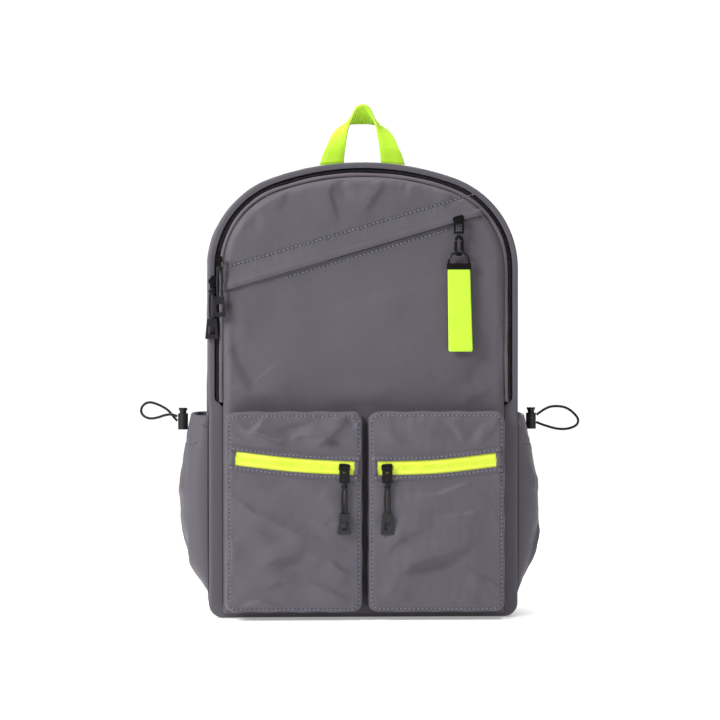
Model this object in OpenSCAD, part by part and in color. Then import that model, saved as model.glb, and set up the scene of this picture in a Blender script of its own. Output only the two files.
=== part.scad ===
// Day backpack with a panel-opening main compartment, two zipped front pockets,
// two drawcord side pockets and padded shoulder straps.
// Millimetres. +Z is up, the front faces -Y, the origin is the middle of the base.

/* [Body] */
// Width of the body across the gusset
body_w = 306; // [250:1:368]
// Height of the body to the top of its dome
body_h = 450; // [375:1:540]
// Depth from the front panel to the back panel
body_d = 120; // [100:1:150]
// Radius of the two upper corners
corner_r = 95; // [80:1:114]
// Rise of the dome above the upper corners
dome_rise = 10; // [8:0.5:12]
// Radius of the two lower corners
foot_r = 14; // [10:1:18]
// Thickness of a body panel with its lining
wall = 2.5; // [2:0.1:3]
// Thickness of the foam-stiffened back panel
back_t = 4; // [3:0.5:5]

/* [Front opening] */
// Height of the bend line that the front opens about
bend_z = 209; // [175:1:250]
// Width of the gusset's rim outside the main zip
rim_w = 5.5; // [4.5:0.5:6.5]
// Setback of the rim behind the front panel
rim_back = 8; // [7:0.5:10]
// Width of the zip tape that shows on one side of the chain
zip_half_w = 4.3; // [3.6:0.1:5]
// Clearance between the two halves of a zip
zip_gap = 0.4; // [0.3:0.1:0.6]

/* [Diagonal pocket] */
// Slope of the folded flap's edge in degrees
fold_angle = 16.4; // [13.7:0.1:19.7]
// Distance from the body's top down to the folded edge at its left side
fold_drop = 131; // [120:1:150]
// Thickness of the folded flap
fold_t = 1.6; // [1.3:0.1:2]
// Place of the slider from the body's middle
fold_slider_x = 93; // [78:1:100]

/* [Front pockets] */
// Width of one front pocket
pocket_w = 134; // [112:1:136]
// Height of one front pocket
pocket_h = 196; // [165:1:200]
// Depth of one front pocket
pocket_d = 28; // [22:1:34]
// Space between the two front pockets
pocket_gap = 6; // [5:0.5:7]
// Height of the pockets' lower edge above the base
pocket_z = 8; // [7:0.5:9]
// Height of the pocket zips' inner ends
pocket_zip_z = 149; // [125:1:160]
// Width of the coloured zip band
pocket_zip_w = 13; // [11:0.5:15.5]
// Slope of the left pocket's zip in degrees
left_zip_angle = 5; // [4:0.5:6]
// Slope of the right pocket's zip in degrees
right_zip_angle = 4; // [3:0.5:5]

/* [Side pockets] */
// Height of the mouths of the side pockets
side_top_z = 200; // [168:1:206]
// Height of the side pockets' lower seams
side_foot_z = 24; // [20:1:28]
// How far the left pocket's mouth stands off the gusset
left_gape = 16; // [13:1:19]
// How far the right pocket's mouth stands off the gusset
right_gape = 8; // [7:1:10]
// Extra bulge of the pockets at mid height
side_belly = 20; // [17:1:24]
// Thickness of the side pockets' fabric with its facing
side_wall = 2; // [1.7:0.1:2.4]
// Height of the hem that holds the drawcord
hem_h = 28; // [24:1:33]

/* [Drawcords] */
// Diameter of the shock cord
cord_d = 2.5; // [2.2:0.1:3]
// Radius of the cord lock's barrel
lock_r = 5; // [4.5:0.1:6]
// Height of the cord lock's barrel
lock_h = 16; // [14:0.5:19]
// Travel of the cord lock's button
lock_travel = 3; // [2.5:0.1:3.5]

/* [Haul handle] */
// Width of the handle's webbing
handle_w = 24; // [20:0.5:28]
// Thickness of the handle's webbing
handle_t = 2; // [1.7:0.1:2.4]
// Space between the handle's two feet
handle_span = 37; // [31:1:44]
// Height of the handle's peak above the body
handle_h = 57; // [48:1:68]
// Distance from the body's middle plane forward to the handle
handle_front = 25; // [20:1:30]

/* [Pulls] */
// Length of the moulded tab on a pocket slider
tab_len = 15; // [13:0.5:18]
// Length of the cord between a pull's knot and its tip
strand_len = 27; // [23:1:32]
// Height of a moulded pull tip
tip_h = 20; // [17:0.5:24]
// Width of a pull tip's lower edge
tip_w = 13; // [11:0.5:14]
// Diameter of the pulls' cord
pull_cord_d = 2.2; // [1.9:0.1:2.6]

/* [Key tab] */
// Width of the key tab's webbing
tab_w = 22; // [19:0.5:26]
// Length of the key tab's folded webbing
tab_drop = 81; // [68:1:90]
// Thickness of one layer of webbing
web_t = 1.6; // [1.3:0.1:1.9]

/* [Shoulder straps] */
// Width of a shoulder strap at its top
strap_w = 62; // [52:1:68]
// Thickness of a shoulder strap's padding
strap_t = 10; // [9:0.5:12]
// How far a strap bows out from the back padding
strap_bow = 36; // [30:1:43]
// Width of the adjuster webbing
adjuster_w = 25; // [21:0.5:27]

/* [Hidden] */
$fn = 32;

GREY = [0.41, 0.385, 0.425];
DARK = [0.33, 0.31, 0.345];
LIME = [0.78, 0.95, 0.22];
BLACK = [0.09, 0.09, 0.1];
FIT = 0.3;         // running clearance between pieces that move past each other
OVER = 50;         // how far a cutting shape runs past what it cuts

half_w = body_w / 2;
back_y = body_d / 2;
front_y = -body_d / 2;
rim_y = front_y + rim_back;

// The outline is two corner arcs and a dome arc that touches both.
corner_x = half_w - corner_r;
corner_z = body_h - dome_rise - corner_r;
dome_r = corner_r + (corner_x * corner_x / dome_rise + dome_rise) / 2;
dome_z = body_h - dome_r;
dome_a = atan2(corner_x, corner_z - dome_z);

function arc(x, z, r, a0, a1, n) =
    [for (i = [0:n]) let (a = a0 + (a1 - a0) * i / n) [x + r * cos(a), z + r * sin(a)]];
function body_points(inset) = concat(
    arc(corner_x, corner_z, corner_r - inset, 0, 90 - dome_a, 9),
    arc(0, dome_z, dome_r - inset, 90 - dome_a * 0.8, 90 + dome_a * 0.8, 5),
    arc(-corner_x, corner_z, corner_r - inset, 90 + dome_a, 180, 9),
    arc(-half_w + foot_r, foot_r, max(foot_r - inset, 1), 180, 270, 4),
    arc(half_w - foot_r, foot_r, max(foot_r - inset, 1), 270, 360, 4));

module outline(inset) {
    polygon(body_points(inset));
}
module outline_ring(outer, inner) {
    difference() {
        outline(outer);
        outline(inner);
    }
}
// Keeps the part of a flat shape between two heights.
module between(z0, z1) {
    intersection() {
        children();
        translate([-body_w, z0]) square([2 * body_w, z1 - z0]);
    }
}
module above(z0) {
    between(z0, body_h + OVER) children();
}
// Stands a flat X-Z shape up as a slab from y0 to y1.
module slab(y0, y1) {
    translate([0, y1, 0]) rotate([90, 0, 0]) linear_extrude(y1 - y0) children();
}
module round_square(w, h, r) {
    translate([r, 0]) square([w - 2 * r, h]);
    translate([0, r]) square([w, h - 2 * r]);
    for (x = [r, w - r], z = [r, h - r]) translate([x, z]) circle(r);
}
// A closed solid through a list of rings with equal numbers of points.
module skin(rings) {
    n = len(rings[0]);
    m = len(rings);
    pts = [for (ring = rings) for (p = ring) p];
    sides = [for (i = [0:m - 2]) for (j = [0:n - 1]) let (k = (j + 1) % n)
        each [[i * n + j, i * n + k, (i + 1) * n + k], [i * n + j, (i + 1) * n + k, (i + 1) * n + j]]];
    polyhedron(pts, concat(sides, [[for (j = [n - 1:-1:0]) j]], [[for (j = [0:n - 1]) (m - 1) * n + j]]));
}

/* Body */

module back_panel() color(DARK) slab(back_y - back_t, back_y) outline(0);

pad_t = 10;
pad_gap = 24;
pad_w = 92;
lumbar_w = 104;
lumbar_h = 78;
module back_padding() color(DARK) slab(back_y, back_y + pad_t) {
    for (s = [-1, 1]) translate([s * (pad_gap + pad_w) / 2 - pad_w / 2, lumbar_h + 58])
        round_square(pad_w, corner_z - lumbar_h - 26, 16);
    translate([-lumbar_w / 2, 38]) round_square(lumbar_w, lumbar_h, 16);
}

low_top_z = bend_z - 2;
flap_foot_z = bend_z + 3;
low_front_y = front_y + wall;
front_foot_z = 4;
// Flat shape of the lower front, which the rim surrounds.
module lower_front(inset) {
    x = half_w - panel_inset - inset;
    translate([-x, front_foot_z + inset]) square([2 * x, low_top_z - front_foot_z - inset]);
}
module gusset() color(GREY) {
    slab(rim_y, back_y - back_t) above(foot_r) outline_ring(0, wall);
    slab(rim_y, rim_y + wall) above(low_top_z) outline_ring(0, rim_w);
    slab(rim_y, rim_y + wall) between(0, low_top_z) difference() {
        outline(0);
        lower_front(0);
    }
}
module base_panel() color(GREY)
    slab(rim_y + wall, back_y - back_t) between(0, foot_r) outline_ring(0, wall);
module lower_front_panel() color(GREY) {
    slab(front_y, low_front_y) lower_front(0);
    slab(low_front_y, rim_y + wall) difference() {
        lower_front(0);
        lower_front(wall);
    }
}

sleeve_w = 256;
sleeve_h = 250;
sleeve_t = 4;
sleeve_rim = 6;
sleeve_z = 8;
module laptop_sleeve() color(DARK) {
    y1 = back_y - back_t;
    slab(y1 - sleeve_rim - sleeve_t, y1 - sleeve_rim)
        translate([-sleeve_w / 2, sleeve_z]) square([sleeve_w, sleeve_h]);
    slab(y1 - sleeve_rim, y1) difference() {
        translate([-sleeve_w / 2, sleeve_z]) square([sleeve_w, sleeve_h]);
        translate([-sleeve_w / 2 + 4, sleeve_z + 4]) square([sleeve_w - 8, sleeve_h]);
    }
}

/* Main zip and the panel that opens */

tape_t = 1.3;
tooth_t = 2.2;
tooth_w = 2;
chain_inset = rim_w + zip_half_w;
front_inset = chain_inset + zip_gap;
piping_w = 2.6;
piping_inset = front_inset + 2.2;
panel_inset = piping_inset + piping_w;
tape_y = rim_y + wall;
module main_zip_rear_tape() color(BLACK) {
    slab(tape_y, tape_y + tape_t) above(flap_foot_z) outline_ring(wall, chain_inset);
    slab(tape_y - tooth_t, tape_y) above(flap_foot_z) outline_ring(chain_inset - tooth_w, chain_inset);
}
module main_zip_front_tape() color(BLACK) {
    slab(tape_y, tape_y + tape_t) above(flap_foot_z) outline_ring(front_inset, panel_inset + wall);
    slab(tape_y - tooth_t, tape_y) above(flap_foot_z) outline_ring(front_inset, front_inset + tooth_w);
}
module upper_front_panel() color(GREY) {
    slab(front_y, low_front_y) above(flap_foot_z) outline(panel_inset);
    slab(low_front_y, tape_y) above(flap_foot_z) outline_ring(panel_inset, panel_inset + wall);
}
module panel_piping() color(DARK)
    slab(front_y, front_y + piping_w) above(flap_foot_z) outline_ring(piping_inset, panel_inset);

// Turns a flat shape so that its X axis runs along the folded edge.
fold_z = body_h - fold_drop;
module on_fold() {
    translate([-half_w, fold_z]) rotate(fold_angle) children();
}
fold_zip_w = 3;
fold_zip_len = 150;
fold_slider_u = (half_w + fold_slider_x) / cos(fold_angle);
module diagonal_flap() color(GREY) slab(front_y - fold_t, front_y) intersection() {
    outline(panel_inset + 0.5);
    on_fold() translate([-OVER, 0]) square([2 * body_w, body_h]);
}
module diagonal_zip() color(BLACK) slab(front_y - 1.2, front_y)
    on_fold() translate([fold_slider_u + 14 - fold_zip_len, -fold_zip_w]) square([fold_zip_len, fold_zip_w]);

/* Front pockets */

pocket_y = front_y - pocket_d;
pocket_r = 10;
pocket_x = pocket_gap / 2;
zip_len = pocket_w - 12;
slot_h = pocket_zip_w - 5;
// The zip's own frame: X runs from the inner end outwards, Z is the chain's height.
module on_pocket_zip(side, angle) {
    translate([side * (pocket_x + 6), pocket_zip_z])
        scale_side(side) rotate(angle) children();
}
module scale_side(side) {
    if (side < 0) mirror([1, 0]) children();
    else children();
}
module pocket_shape(side, inset) {
    x0 = side > 0 ? pocket_x : -pocket_x - pocket_w;
    translate([x0 + inset, pocket_z + inset])
        round_square(pocket_w - 2 * inset, pocket_h - 2 * inset, pocket_r - inset);
}
module front_pocket(side, angle) color(GREY) {
    slab(pocket_y, pocket_y + wall) difference() {
        pocket_shape(side, 0);
        on_pocket_zip(side, angle) translate([0, -slot_h / 2]) square([zip_len, slot_h]);
    }
    slab(pocket_y + wall, front_y) difference() {
        pocket_shape(side, 0);
        pocket_shape(side, wall);
    }
}
module front_pocket_left() front_pocket(-1, left_zip_angle);
module front_pocket_right() front_pocket(1, right_zip_angle);
module pocket_zip(side, angle) color(LIME) {
    slab(pocket_y + wall, pocket_y + wall + tape_t) on_pocket_zip(side, angle)
        translate([-1, -pocket_zip_w / 2]) square([zip_len + 2, pocket_zip_w]);
    slab(pocket_y + wall - 1.5, pocket_y + wall) on_pocket_zip(side, angle)
        translate([1, -2]) square([zip_len - 2, 4]);
}
module pocket_zip_left() pocket_zip(-1, left_zip_angle);
module pocket_zip_right() pocket_zip(1, right_zip_angle);

/* Side pockets */

side_y0 = front_y + 12;
side_y1 = back_y - 8;
// How far the pocket's outside stands off the gusset at height z.
function bulge(z, gape) =
    let (t = (z - side_foot_z) / (side_top_z - side_foot_z)) gape * t + side_belly * sin(180 * pow(t, 0.8));
function pocket_side(z0, z1, gape, inset) = concat(
    [[half_w + FIT, z0], [half_w + FIT + max(bulge(z0, gape) - inset, 0.6), z0]],
    [for (i = [1:8]) let (z = z0 + (z1 - z0) * i / 8) [half_w + FIT + bulge(z, gape) - inset, z]],
    [[half_w + FIT, z1]]);
module side_shell(side, gape, z0, z1, floor_t) {
    mirror([side < 0 ? 1 : 0, 0, 0]) difference() {
        slab(side_y0, side_y1) polygon(pocket_side(z0, z1, gape, 0));
        slab(side_y0 + side_wall, side_y1 - side_wall) intersection() {
            translate([half_w - 1, z0 + floor_t]) square([OVER, z1 - z0 + 1]);
            union() {
                polygon(pocket_side(side_foot_z + 6, side_top_z, gape, side_wall));
                translate([half_w - 1, side_foot_z + 6])
                    square([1 + FIT + 0.05, side_top_z - side_foot_z]);
                translate([half_w, side_top_z - 0.01]) square([gape + FIT - side_wall, 1]);
            }
        }
    }
}
hem_z = side_top_z - hem_h;
module side_pocket_left() color(GREY) side_shell(-1, left_gape, side_foot_z, hem_z, 6);
module side_pocket_right() color(GREY) side_shell(1, right_gape, side_foot_z, hem_z, 6);
module pocket_hem_left() color(GREY) side_shell(-1, left_gape, hem_z, side_top_z, -1);
module pocket_hem_right() color(GREY) side_shell(1, right_gape, hem_z, side_top_z, -1);

/* Cord locks and drawcords */

lock_z = side_top_z - lock_h;
lock_gap = 0.4;
bore_r = lock_r - 1.4;
button_r = bore_r - FIT;
lock_floor = 2;
button_in = 6;
spring_wire = 0.8;
spring_turns = 3.5;
spring_r = bore_r - FIT - spring_wire / 2 - 0.6;
function lock_x(side) =
    side * (half_w + FIT + bulge(lock_z, side < 0 ? left_gape : right_gape) + lock_r + lock_gap);
module at_lock(side) {
    translate([lock_x(side), 0, lock_z]) children();
}
module cord_lock(side) color(BLACK) at_lock(side) difference() {
    cylinder(r = lock_r, h = lock_h);
    translate([0, 0, lock_floor]) cylinder(r = bore_r, h = lock_h);
}
module lock_button(side) color(BLACK) at_lock(side) {
    translate([0, 0, lock_h - button_in]) cylinder(r = button_r, h = button_in + lock_travel);
    translate([0, 0, lock_h + lock_travel]) cylinder(r = bore_r + 0.6, h = 2.5);
}
module cord_lock_left() cord_lock(-1);
module cord_lock_right() cord_lock(1);
module lock_button_left() lock_button(-1);
module lock_button_right() lock_button(1);
// Routes of the two shock cord loops, from the lock out and back to it.
left_route = [
    [-183.5, -2, 197], [-187, -2, 198.5], [-191.5, -2, 199], [-197, -2, 198], [-203, -1.5, 196],
    [-210, -1, 195], [-215.5, 0, 196.5], [-219, 0, 200], [-219.5, 0, 204], [-218, 0, 207.5],
    [-215, 0.5, 210], [-211, 1, 211], [-206, 1.5, 210], [-200, 2, 207.5], [-194, 2, 204],
    [-189.5, 2, 199.5], [-186.5, 2, 195.5], [-183.5, 2, 192.5]];
right_route = [
    [176, -2, 198], [179.5, -2, 200.5], [184, -2, 203.5], [190, -1.5, 206], [197, -1, 206.5],
    [204, 0, 205.5], [210, 0, 202.5], [215, 0, 198], [218, 0, 193.5], [217.5, 0, 189],
    [214, 0, 186], [208, 0, 184], [201, 0, 183.5], [194, 1, 184.5], [187, 2, 186.5],
    [181, 2, 188.5], [176, 2, 190.5]];
function unit(v) = v / norm(v);
function heading(route, i) = unit(route[min(i + 1, len(route) - 1)] - route[max(i - 1, 0)]);
// A ring of points round the route, square to its heading.
function ring_at(route, i, r, n) =
    let (w = heading(route, i), u = unit(cross(w, [0, 1, 0])), v = cross(w, u))
    [for (j = [0:n - 1]) route[i] + r * (cos(360 * j / n) * u + sin(360 * j / n) * v)];
// Coil spring between the barrel's floor and the button.
spring_h = lock_h - button_in - lock_floor - spring_wire - 0.1;
spring_route = [for (i = [0:12 * spring_turns]) [
    spring_r * cos(30 * i), spring_r * sin(30 * i),
    lock_floor + spring_wire / 2 + 0.05 + spring_h * i / (12 * spring_turns)]];
function spring_ring(i) =
    let (w = heading(spring_route, i), u = unit(cross(w, [0, 0, 1])), v = cross(w, u))
    [for (j = [0:5]) spring_route[i] + spring_wire / 2 * (cos(60 * j) * u + sin(60 * j) * v)];
module lock_spring(side) color("silver") at_lock(side)
    skin([for (i = [0:len(spring_route) - 1]) spring_ring(i)]);
module lock_spring_left() lock_spring(-1);
module lock_spring_right() lock_spring(1);
module cord(route) color(BLACK)
    skin([for (i = [0:len(route) - 1]) ring_at(route, i, cord_d / 2, 8)]);
module drawcord_left() cord(left_route);
module drawcord_right() cord(right_route);

/* Haul handle */

foot_in = handle_span / 2;
foot_out = foot_in + handle_w;
handle_z = body_h + FIT;
function arch_z(x) = dome_z + sqrt(dome_r * dome_r - x * x);
// Stations of one half, each with its inner and its outer edge: share of the
// foot's X, distance forward of the handle's plane, and share of the height.
// The feet stand on the arch.
handle_half = [
    [[1, 0, 0], [1, 0, 0]],
    [[0.88, 1, 0.33], [0.84, 0, 0.27]],
    [[0.76, 2, 0.58], [0.71, -3, 0.47]],
    [[0.56, 5, 0.77], [0.5, -11, 0.62]],
    [[0.29, 8, 0.93], [0.25, -16, 0.64]],
    [[0, 9, 1], [0, -18, 0.62]]];
function edge_z(foot_x, share) =
    share > 0 ? handle_z + handle_h * share : arch_z(foot_x) + 2 * FIT;
function handle_edge(s, side) = [
    [side * foot_in * s[0][0], -handle_front - s[0][1], edge_z(foot_in, s[0][2])],
    [side * foot_out * s[1][0], -handle_front - s[1][1], edge_z(foot_out, s[1][2])]];
handle_edges = concat(
    [for (s = handle_half) handle_edge(s, -1)],
    [for (i = [len(handle_half) - 2:-1:0]) handle_edge(handle_half[i], 1)]);
function handle_ring(i) =
    let (e = handle_edges[i],
         a = handle_edges[max(i - 1, 0)],
         b = handle_edges[min(i + 1, len(handle_edges) - 1)],
         n = unit(cross(b[0] + b[1] - a[0] - a[1], e[1] - e[0])) * handle_t / 2)
    [e[0] + n, e[1] + n, e[1] - n, e[0] - n];
module haul_handle() color(LIME) skin([for (i = [0:len(handle_edges) - 1]) handle_ring(i)]);

/* Zip sliders and cord pulls */

slider_w = 7.4;
slider_h = 11;
slider_t = 1.8;
post_r = 1.4;
post_h = 2.6;
link_t = 1.6;
link_len = 5;
knot_r = 3.2;
chain_clear = 0.5;
slider_y = rim_y - FIT;
// A slider in its own frame: the chain runs along Z and its back lies at y = 0.
module slider_plate(shift) {
    slab(-slider_t, 0) translate([shift - slider_w / 2, -slider_h / 2]) round_square(slider_w, slider_h, 2);
}
module post_slider(shift) color(BLACK) {
    slider_plate(shift);
    rotate([90, 0, 0]) {
        cylinder(r = post_r, h = slider_t + post_h);
        translate([0, 0, slider_t + post_h]) cylinder(r = post_r + 1, h = 1);
    }
}
// Link that turns on the post, seen from the post's own axis.
link_y = -slider_t - (post_h + link_t) / 2 + link_t;
module pull_link() color(BLACK) slab(link_y - link_t, link_y) difference() {
    union() {
        circle(post_r + 1.9);
        translate([-1.8, -post_r - link_len]) square([3.6, link_len]);
    }
    circle(post_r + 0.25);
}
module pull_cord(top_z, y) color(BLACK) {
    translate([0, y, top_z - knot_r]) sphere(knot_r);
    for (x = [-2, 2]) translate([x, y, top_z - knot_r - strand_len]) cylinder(d = pull_cord_d, h = strand_len);
}
module pull_tip(top_z, y) color(BLACK)
    translate([0, 0, top_z - knot_r - strand_len - tip_h]) slab(y - 2, y + 2) difference() {
        polygon([[-tip_w / 2, 0], [tip_w / 2, 0], [tip_w * 0.36, tip_h], [-tip_w * 0.36, tip_h]]);
        translate([-3, tip_h * 0.22]) square([6, tip_h * 0.4]);
    }
link_foot_z = -post_r - link_len;
main_strand_y = link_y - link_t / 2;

// Lower main slider: on the straight run of the left side.
lower_shift = 2.8;
lower_x = -half_w + chain_inset - FIT - slider_w / 2 - lower_shift;
lower_z = corner_z - 13;
module at_lower() {
    translate([lower_x, slider_y, lower_z]) children();
}
module lower_slider() at_lower() post_slider(lower_shift);
module lower_pull_link() at_lower() pull_link();
module lower_pull_cord() at_lower() pull_cord(link_foot_z, main_strand_y);
module lower_pull_tip() at_lower() pull_tip(link_foot_z, main_strand_y);

// Upper main slider: on the left corner's arc, its post one layer further out.
upper_a = 6;
upper_run = corner_r - chain_inset - zip_gap / 2;
upper_step = slider_y + main_strand_y - (front_y - fold_t - FIT - knot_r);
module at_upper() {
    translate([-corner_x - upper_run * cos(upper_a), slider_y, corner_z + upper_run * sin(upper_a)]) children();
}
module upper_slider() at_upper() color(BLACK) {
    rotate([0, upper_a, 0]) slider_plate(0);
    rotate([90, 0, 0]) cylinder(r = post_r, h = slider_t + upper_step);
    translate([0, -upper_step, 0]) rotate([90, 0, 0]) {
        cylinder(r = post_r, h = slider_t + post_h);
        translate([0, 0, slider_t + post_h]) cylinder(r = post_r + 1, h = 1);
    }
}
module at_upper_pull() {
    at_upper() translate([0, -upper_step, 0]) children();
}
module upper_pull_link() at_upper_pull() pull_link();
module upper_pull_cord() at_upper_pull() pull_cord(link_foot_z, main_strand_y);
module upper_pull_tip() at_upper_pull() pull_tip(link_foot_z, main_strand_y);

// Bridge slider: a bar on two feet, with the tab's pin under the bar.
bridge_w = 2.4;
bridge_out = 3.6;
bridge_t = 1.2;
bridge_h = 4;
pin_r = 0.9;
pin_y = -slider_t - bridge_out + pin_r + 0.25;
module bridge_slider(angle) color(BLACK) {
    rotate([0, -angle, 0]) slab(-slider_t, 0)
        translate([-slider_h / 2, -slider_w / 2]) round_square(slider_h, slider_w, 2);
    translate([-bridge_w / 2, 0, 0]) difference() {
        translate([0, -slider_t - bridge_out - bridge_t, -bridge_h])
            cube([bridge_w, bridge_out + bridge_t + 0.5, 2 * bridge_h]);
        translate([-1, -slider_t - bridge_out, -bridge_h + 1])
            cube([bridge_w + 2, bridge_out, 2 * bridge_h - 2]);
    }
}
tab_half = 5;
tab_t = 1.6;
window_half = bridge_w / 2 + FIT + 0.1;
window_h = 5.6;
module pull_tab() color(BLACK) {
    translate([-window_half - 0.5, pin_y, 0]) rotate([0, 90, 0])
        cylinder(r = pin_r, h = 2 * window_half + 1);
    slab(pin_y - tab_t / 2, pin_y + tab_t / 2) difference() {
        translate([-tab_half, -tab_len]) square([2 * tab_half, tab_len + pin_r]);
        translate([-window_half, -window_h]) square([2 * window_half, window_h + 2]);
        translate([0, -tab_len + 3]) circle(1.6);
    }
}
slider_x = 12;
pocket_slider_y = pocket_y + wall - 1.5 - chain_clear;
function along_zip(side, angle, u) =
    [side * (pocket_x + 6 + u * cos(angle)), pocket_slider_y, pocket_zip_z + u * sin(angle)];
left_at = along_zip(-1, left_zip_angle, slider_x);
right_at = along_zip(1, right_zip_angle, slider_x);
module left_slider() translate(left_at) bridge_slider(-left_zip_angle);
module right_slider() translate(right_at) bridge_slider(right_zip_angle);
module left_pull_tab() translate(left_at) pull_tab();
module right_pull_tab() translate(right_at) pull_tab();
module left_pull_cord() translate(left_at) pull_cord(-tab_len, pin_y);
module right_pull_cord() translate(right_at) pull_cord(-tab_len, pin_y);
module left_pull_tip() translate(left_at) pull_tip(-tab_len, pin_y);
module right_pull_tip() translate(right_at) pull_tip(-tab_len, pin_y);

/* Diagonal slider, clasp and key tab */

fold_slider_y = front_y - fold_t - 0.4;
fold_slider_at = [fold_slider_x, fold_slider_y, fold_z + fold_slider_u * sin(fold_angle) + 1.5];
module at_fold_slider() {
    translate(fold_slider_at) children();
}
module diagonal_slider() at_fold_slider() bridge_slider(fold_angle);
frame_h = 14;
bar_t = 1.8;
bar_z = -frame_h + bar_t / 2;
module diagonal_pull() at_fold_slider() color(BLACK) {
    translate([-window_half - 0.5, pin_y, 0]) rotate([0, 90, 0])
        cylinder(r = pin_r, h = 2 * window_half + 1);
    slab(pin_y - bar_t / 2, pin_y + bar_t / 2) difference() {
        translate([-tab_half, -frame_h]) square([2 * tab_half, frame_h + pin_r]);
        translate([-window_half, -window_h]) square([2 * window_half, window_h + 2]);
        translate([-tab_half + 1.8, -frame_h + bar_t])
            square([2 * tab_half - 3.6, frame_h - window_h - bar_t + 1]);
    }
}
// The clasp hangs on the pull's lower bar; its hook is turned about the vertical.
eye_in = 1.75;
eye_out = 3.4;
eye_w = 2.6;
hook_turn = 50;
hook_half = 6.3;
hook_wire = 2.4;
hook_h = 20;
hook_top = -eye_out + 0.6;
gate_len = 11;
gate_gap = 0.4;
module at_clasp() {
    at_fold_slider() translate([0, pin_y, bar_z]) children();
}
module hook_outline(grow) {
    translate([-hook_half - grow, hook_top - hook_h - grow])
        round_square(2 * (hook_half + grow), hook_h + 2 * grow, hook_half + grow - 0.5);
}
gate_top = hook_top - 5;
module clasp_body() at_clasp() color(BLACK) {
    difference() {
        translate([-eye_w / 2, 0, 0]) rotate([0, 90, 0]) cylinder(r = eye_out, h = eye_w);
        translate([-eye_w, 0, 0]) rotate([0, 90, 0]) cylinder(r = eye_in, h = 2 * eye_w);
    }
    rotate([0, 0, hook_turn]) slab(-hook_wire / 2, hook_wire / 2) difference() {
        hook_outline(0);
        hook_outline(-hook_wire);
        translate([-hook_half - 1, gate_top - gate_len]) square([hook_wire + 1.5, gate_len]);
    }
}
module clasp_gate() at_clasp() color(BLACK) rotate([0, 0, hook_turn])
    slab(-hook_wire / 2, hook_wire / 2)
        translate([-hook_half, gate_top - gate_len + gate_gap])
            square([hook_wire - 0.4, gate_len - 2 * gate_gap]);

ring_wire = 2.2;
ring_r = 10;
ring_axis_z = hook_top - hook_h + hook_wire + FIT + ring_wire / 2;
crimp_h = 6;
crimp_t = 4.4;
module at_key_ring() {
    at_clasp() translate([0, 0, ring_axis_z]) children();
}
module key_ring() at_key_ring() color(BLACK) translate([0, 0, -ring_r]) {
    rotate([90, 0, 0]) rotate_extrude(angle = 180) translate([ring_r, 0]) circle(d = ring_wire);
    for (s = [-1, 1]) translate([s * ring_r, 0, -1]) cylinder(d = ring_wire, h = 1);
}
crimp_z = -ring_r - 1 - crimp_h;
module key_crimp() at_key_ring() color(BLACK)
    translate([-tab_w / 2 - 1, -crimp_t / 2, crimp_z]) cube([tab_w + 2, crimp_t, crimp_h]);
module key_webbing() at_key_ring() color(LIME)
    translate([-tab_w / 2, 0, crimp_z]) rotate([90, 0, 90]) linear_extrude(tab_w) difference() {
        union() {
            translate([-2, -tab_drop + 2]) square([4, tab_drop - 2]);
            translate([0, -tab_drop + 2]) circle(2);
        }
        translate([-2 + web_t, -tab_drop + 4]) square([4 - 2 * web_t, tab_drop - 4 - 6]);
    }

/* Shoulder straps */

strap_top_z = corner_z + 76;
strap_foot_z = 148;
strap_y = back_y + pad_t + 1;
yoke_t = strap_y - back_y + 2;
strap_n = 14;
function strap_mid(t) = 42 + 34 * sin(115 * pow(t, 0.9));
function strap_half(t) = (strap_w - 22 * t) / 2;
function strap_z(t) = strap_top_z + (strap_foot_z - strap_top_z) * t;
function strap_off(t) = strap_y + strap_bow * pow(sin(180 * t), 0.8);
yoke_w = 150;
yoke_h = 16;
module strap_yoke() color(DARK) slab(back_y, back_y + yoke_t)
    translate([-yoke_w / 2, strap_top_z]) round_square(yoke_w, yoke_h, 6);
module shoulder_strap(side) color(DARK) mirror([side < 0 ? 1 : 0, 0, 0]) intersection() {
    slab(back_y, back_y + 4 * strap_bow) polygon(concat(
        [for (i = [0:strap_n]) let (t = i / strap_n) [strap_mid(t) + strap_half(t), strap_z(t)]],
        [for (i = [strap_n:-1:0]) let (t = i / strap_n) [strap_mid(t) - strap_half(t), strap_z(t)]]));
    rotate([90, 0, 90]) linear_extrude(half_w) polygon(concat(
        [for (i = [0:strap_n]) let (t = i / strap_n) [strap_off(t), strap_z(t)]],
        [for (i = [strap_n:-1:0]) let (t = i / strap_n) [strap_off(t) + strap_t, strap_z(t)]]));
}
module shoulder_strap_left() shoulder_strap(-1);
module shoulder_strap_right() shoulder_strap(1);

lock_frame_w = adjuster_w + 9;
lock_frame_h = 26;
lock_frame_t = 5;
frame_x = strap_mid(1);
frame_top_z = strap_foot_z - FIT;
frame_y = strap_y + 2;
anchor_x = half_w - 34;
anchor_z = 42;
anchor_t = 5;
module ladder_lock(side) color(BLACK)
    mirror([side < 0 ? 1 : 0, 0, 0]) slab(frame_y, frame_y + lock_frame_t) difference() {
        translate([frame_x - lock_frame_w / 2, frame_top_z - lock_frame_h])
            round_square(lock_frame_w, lock_frame_h, 2.5);
        for (z = [4, 14]) translate([frame_x - adjuster_w / 2 - 0.5, frame_top_z - lock_frame_h + z])
            square([adjuster_w + 1, 6]);
    }
module ladder_lock_left() ladder_lock(-1);
module ladder_lock_right() ladder_lock(1);

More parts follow.
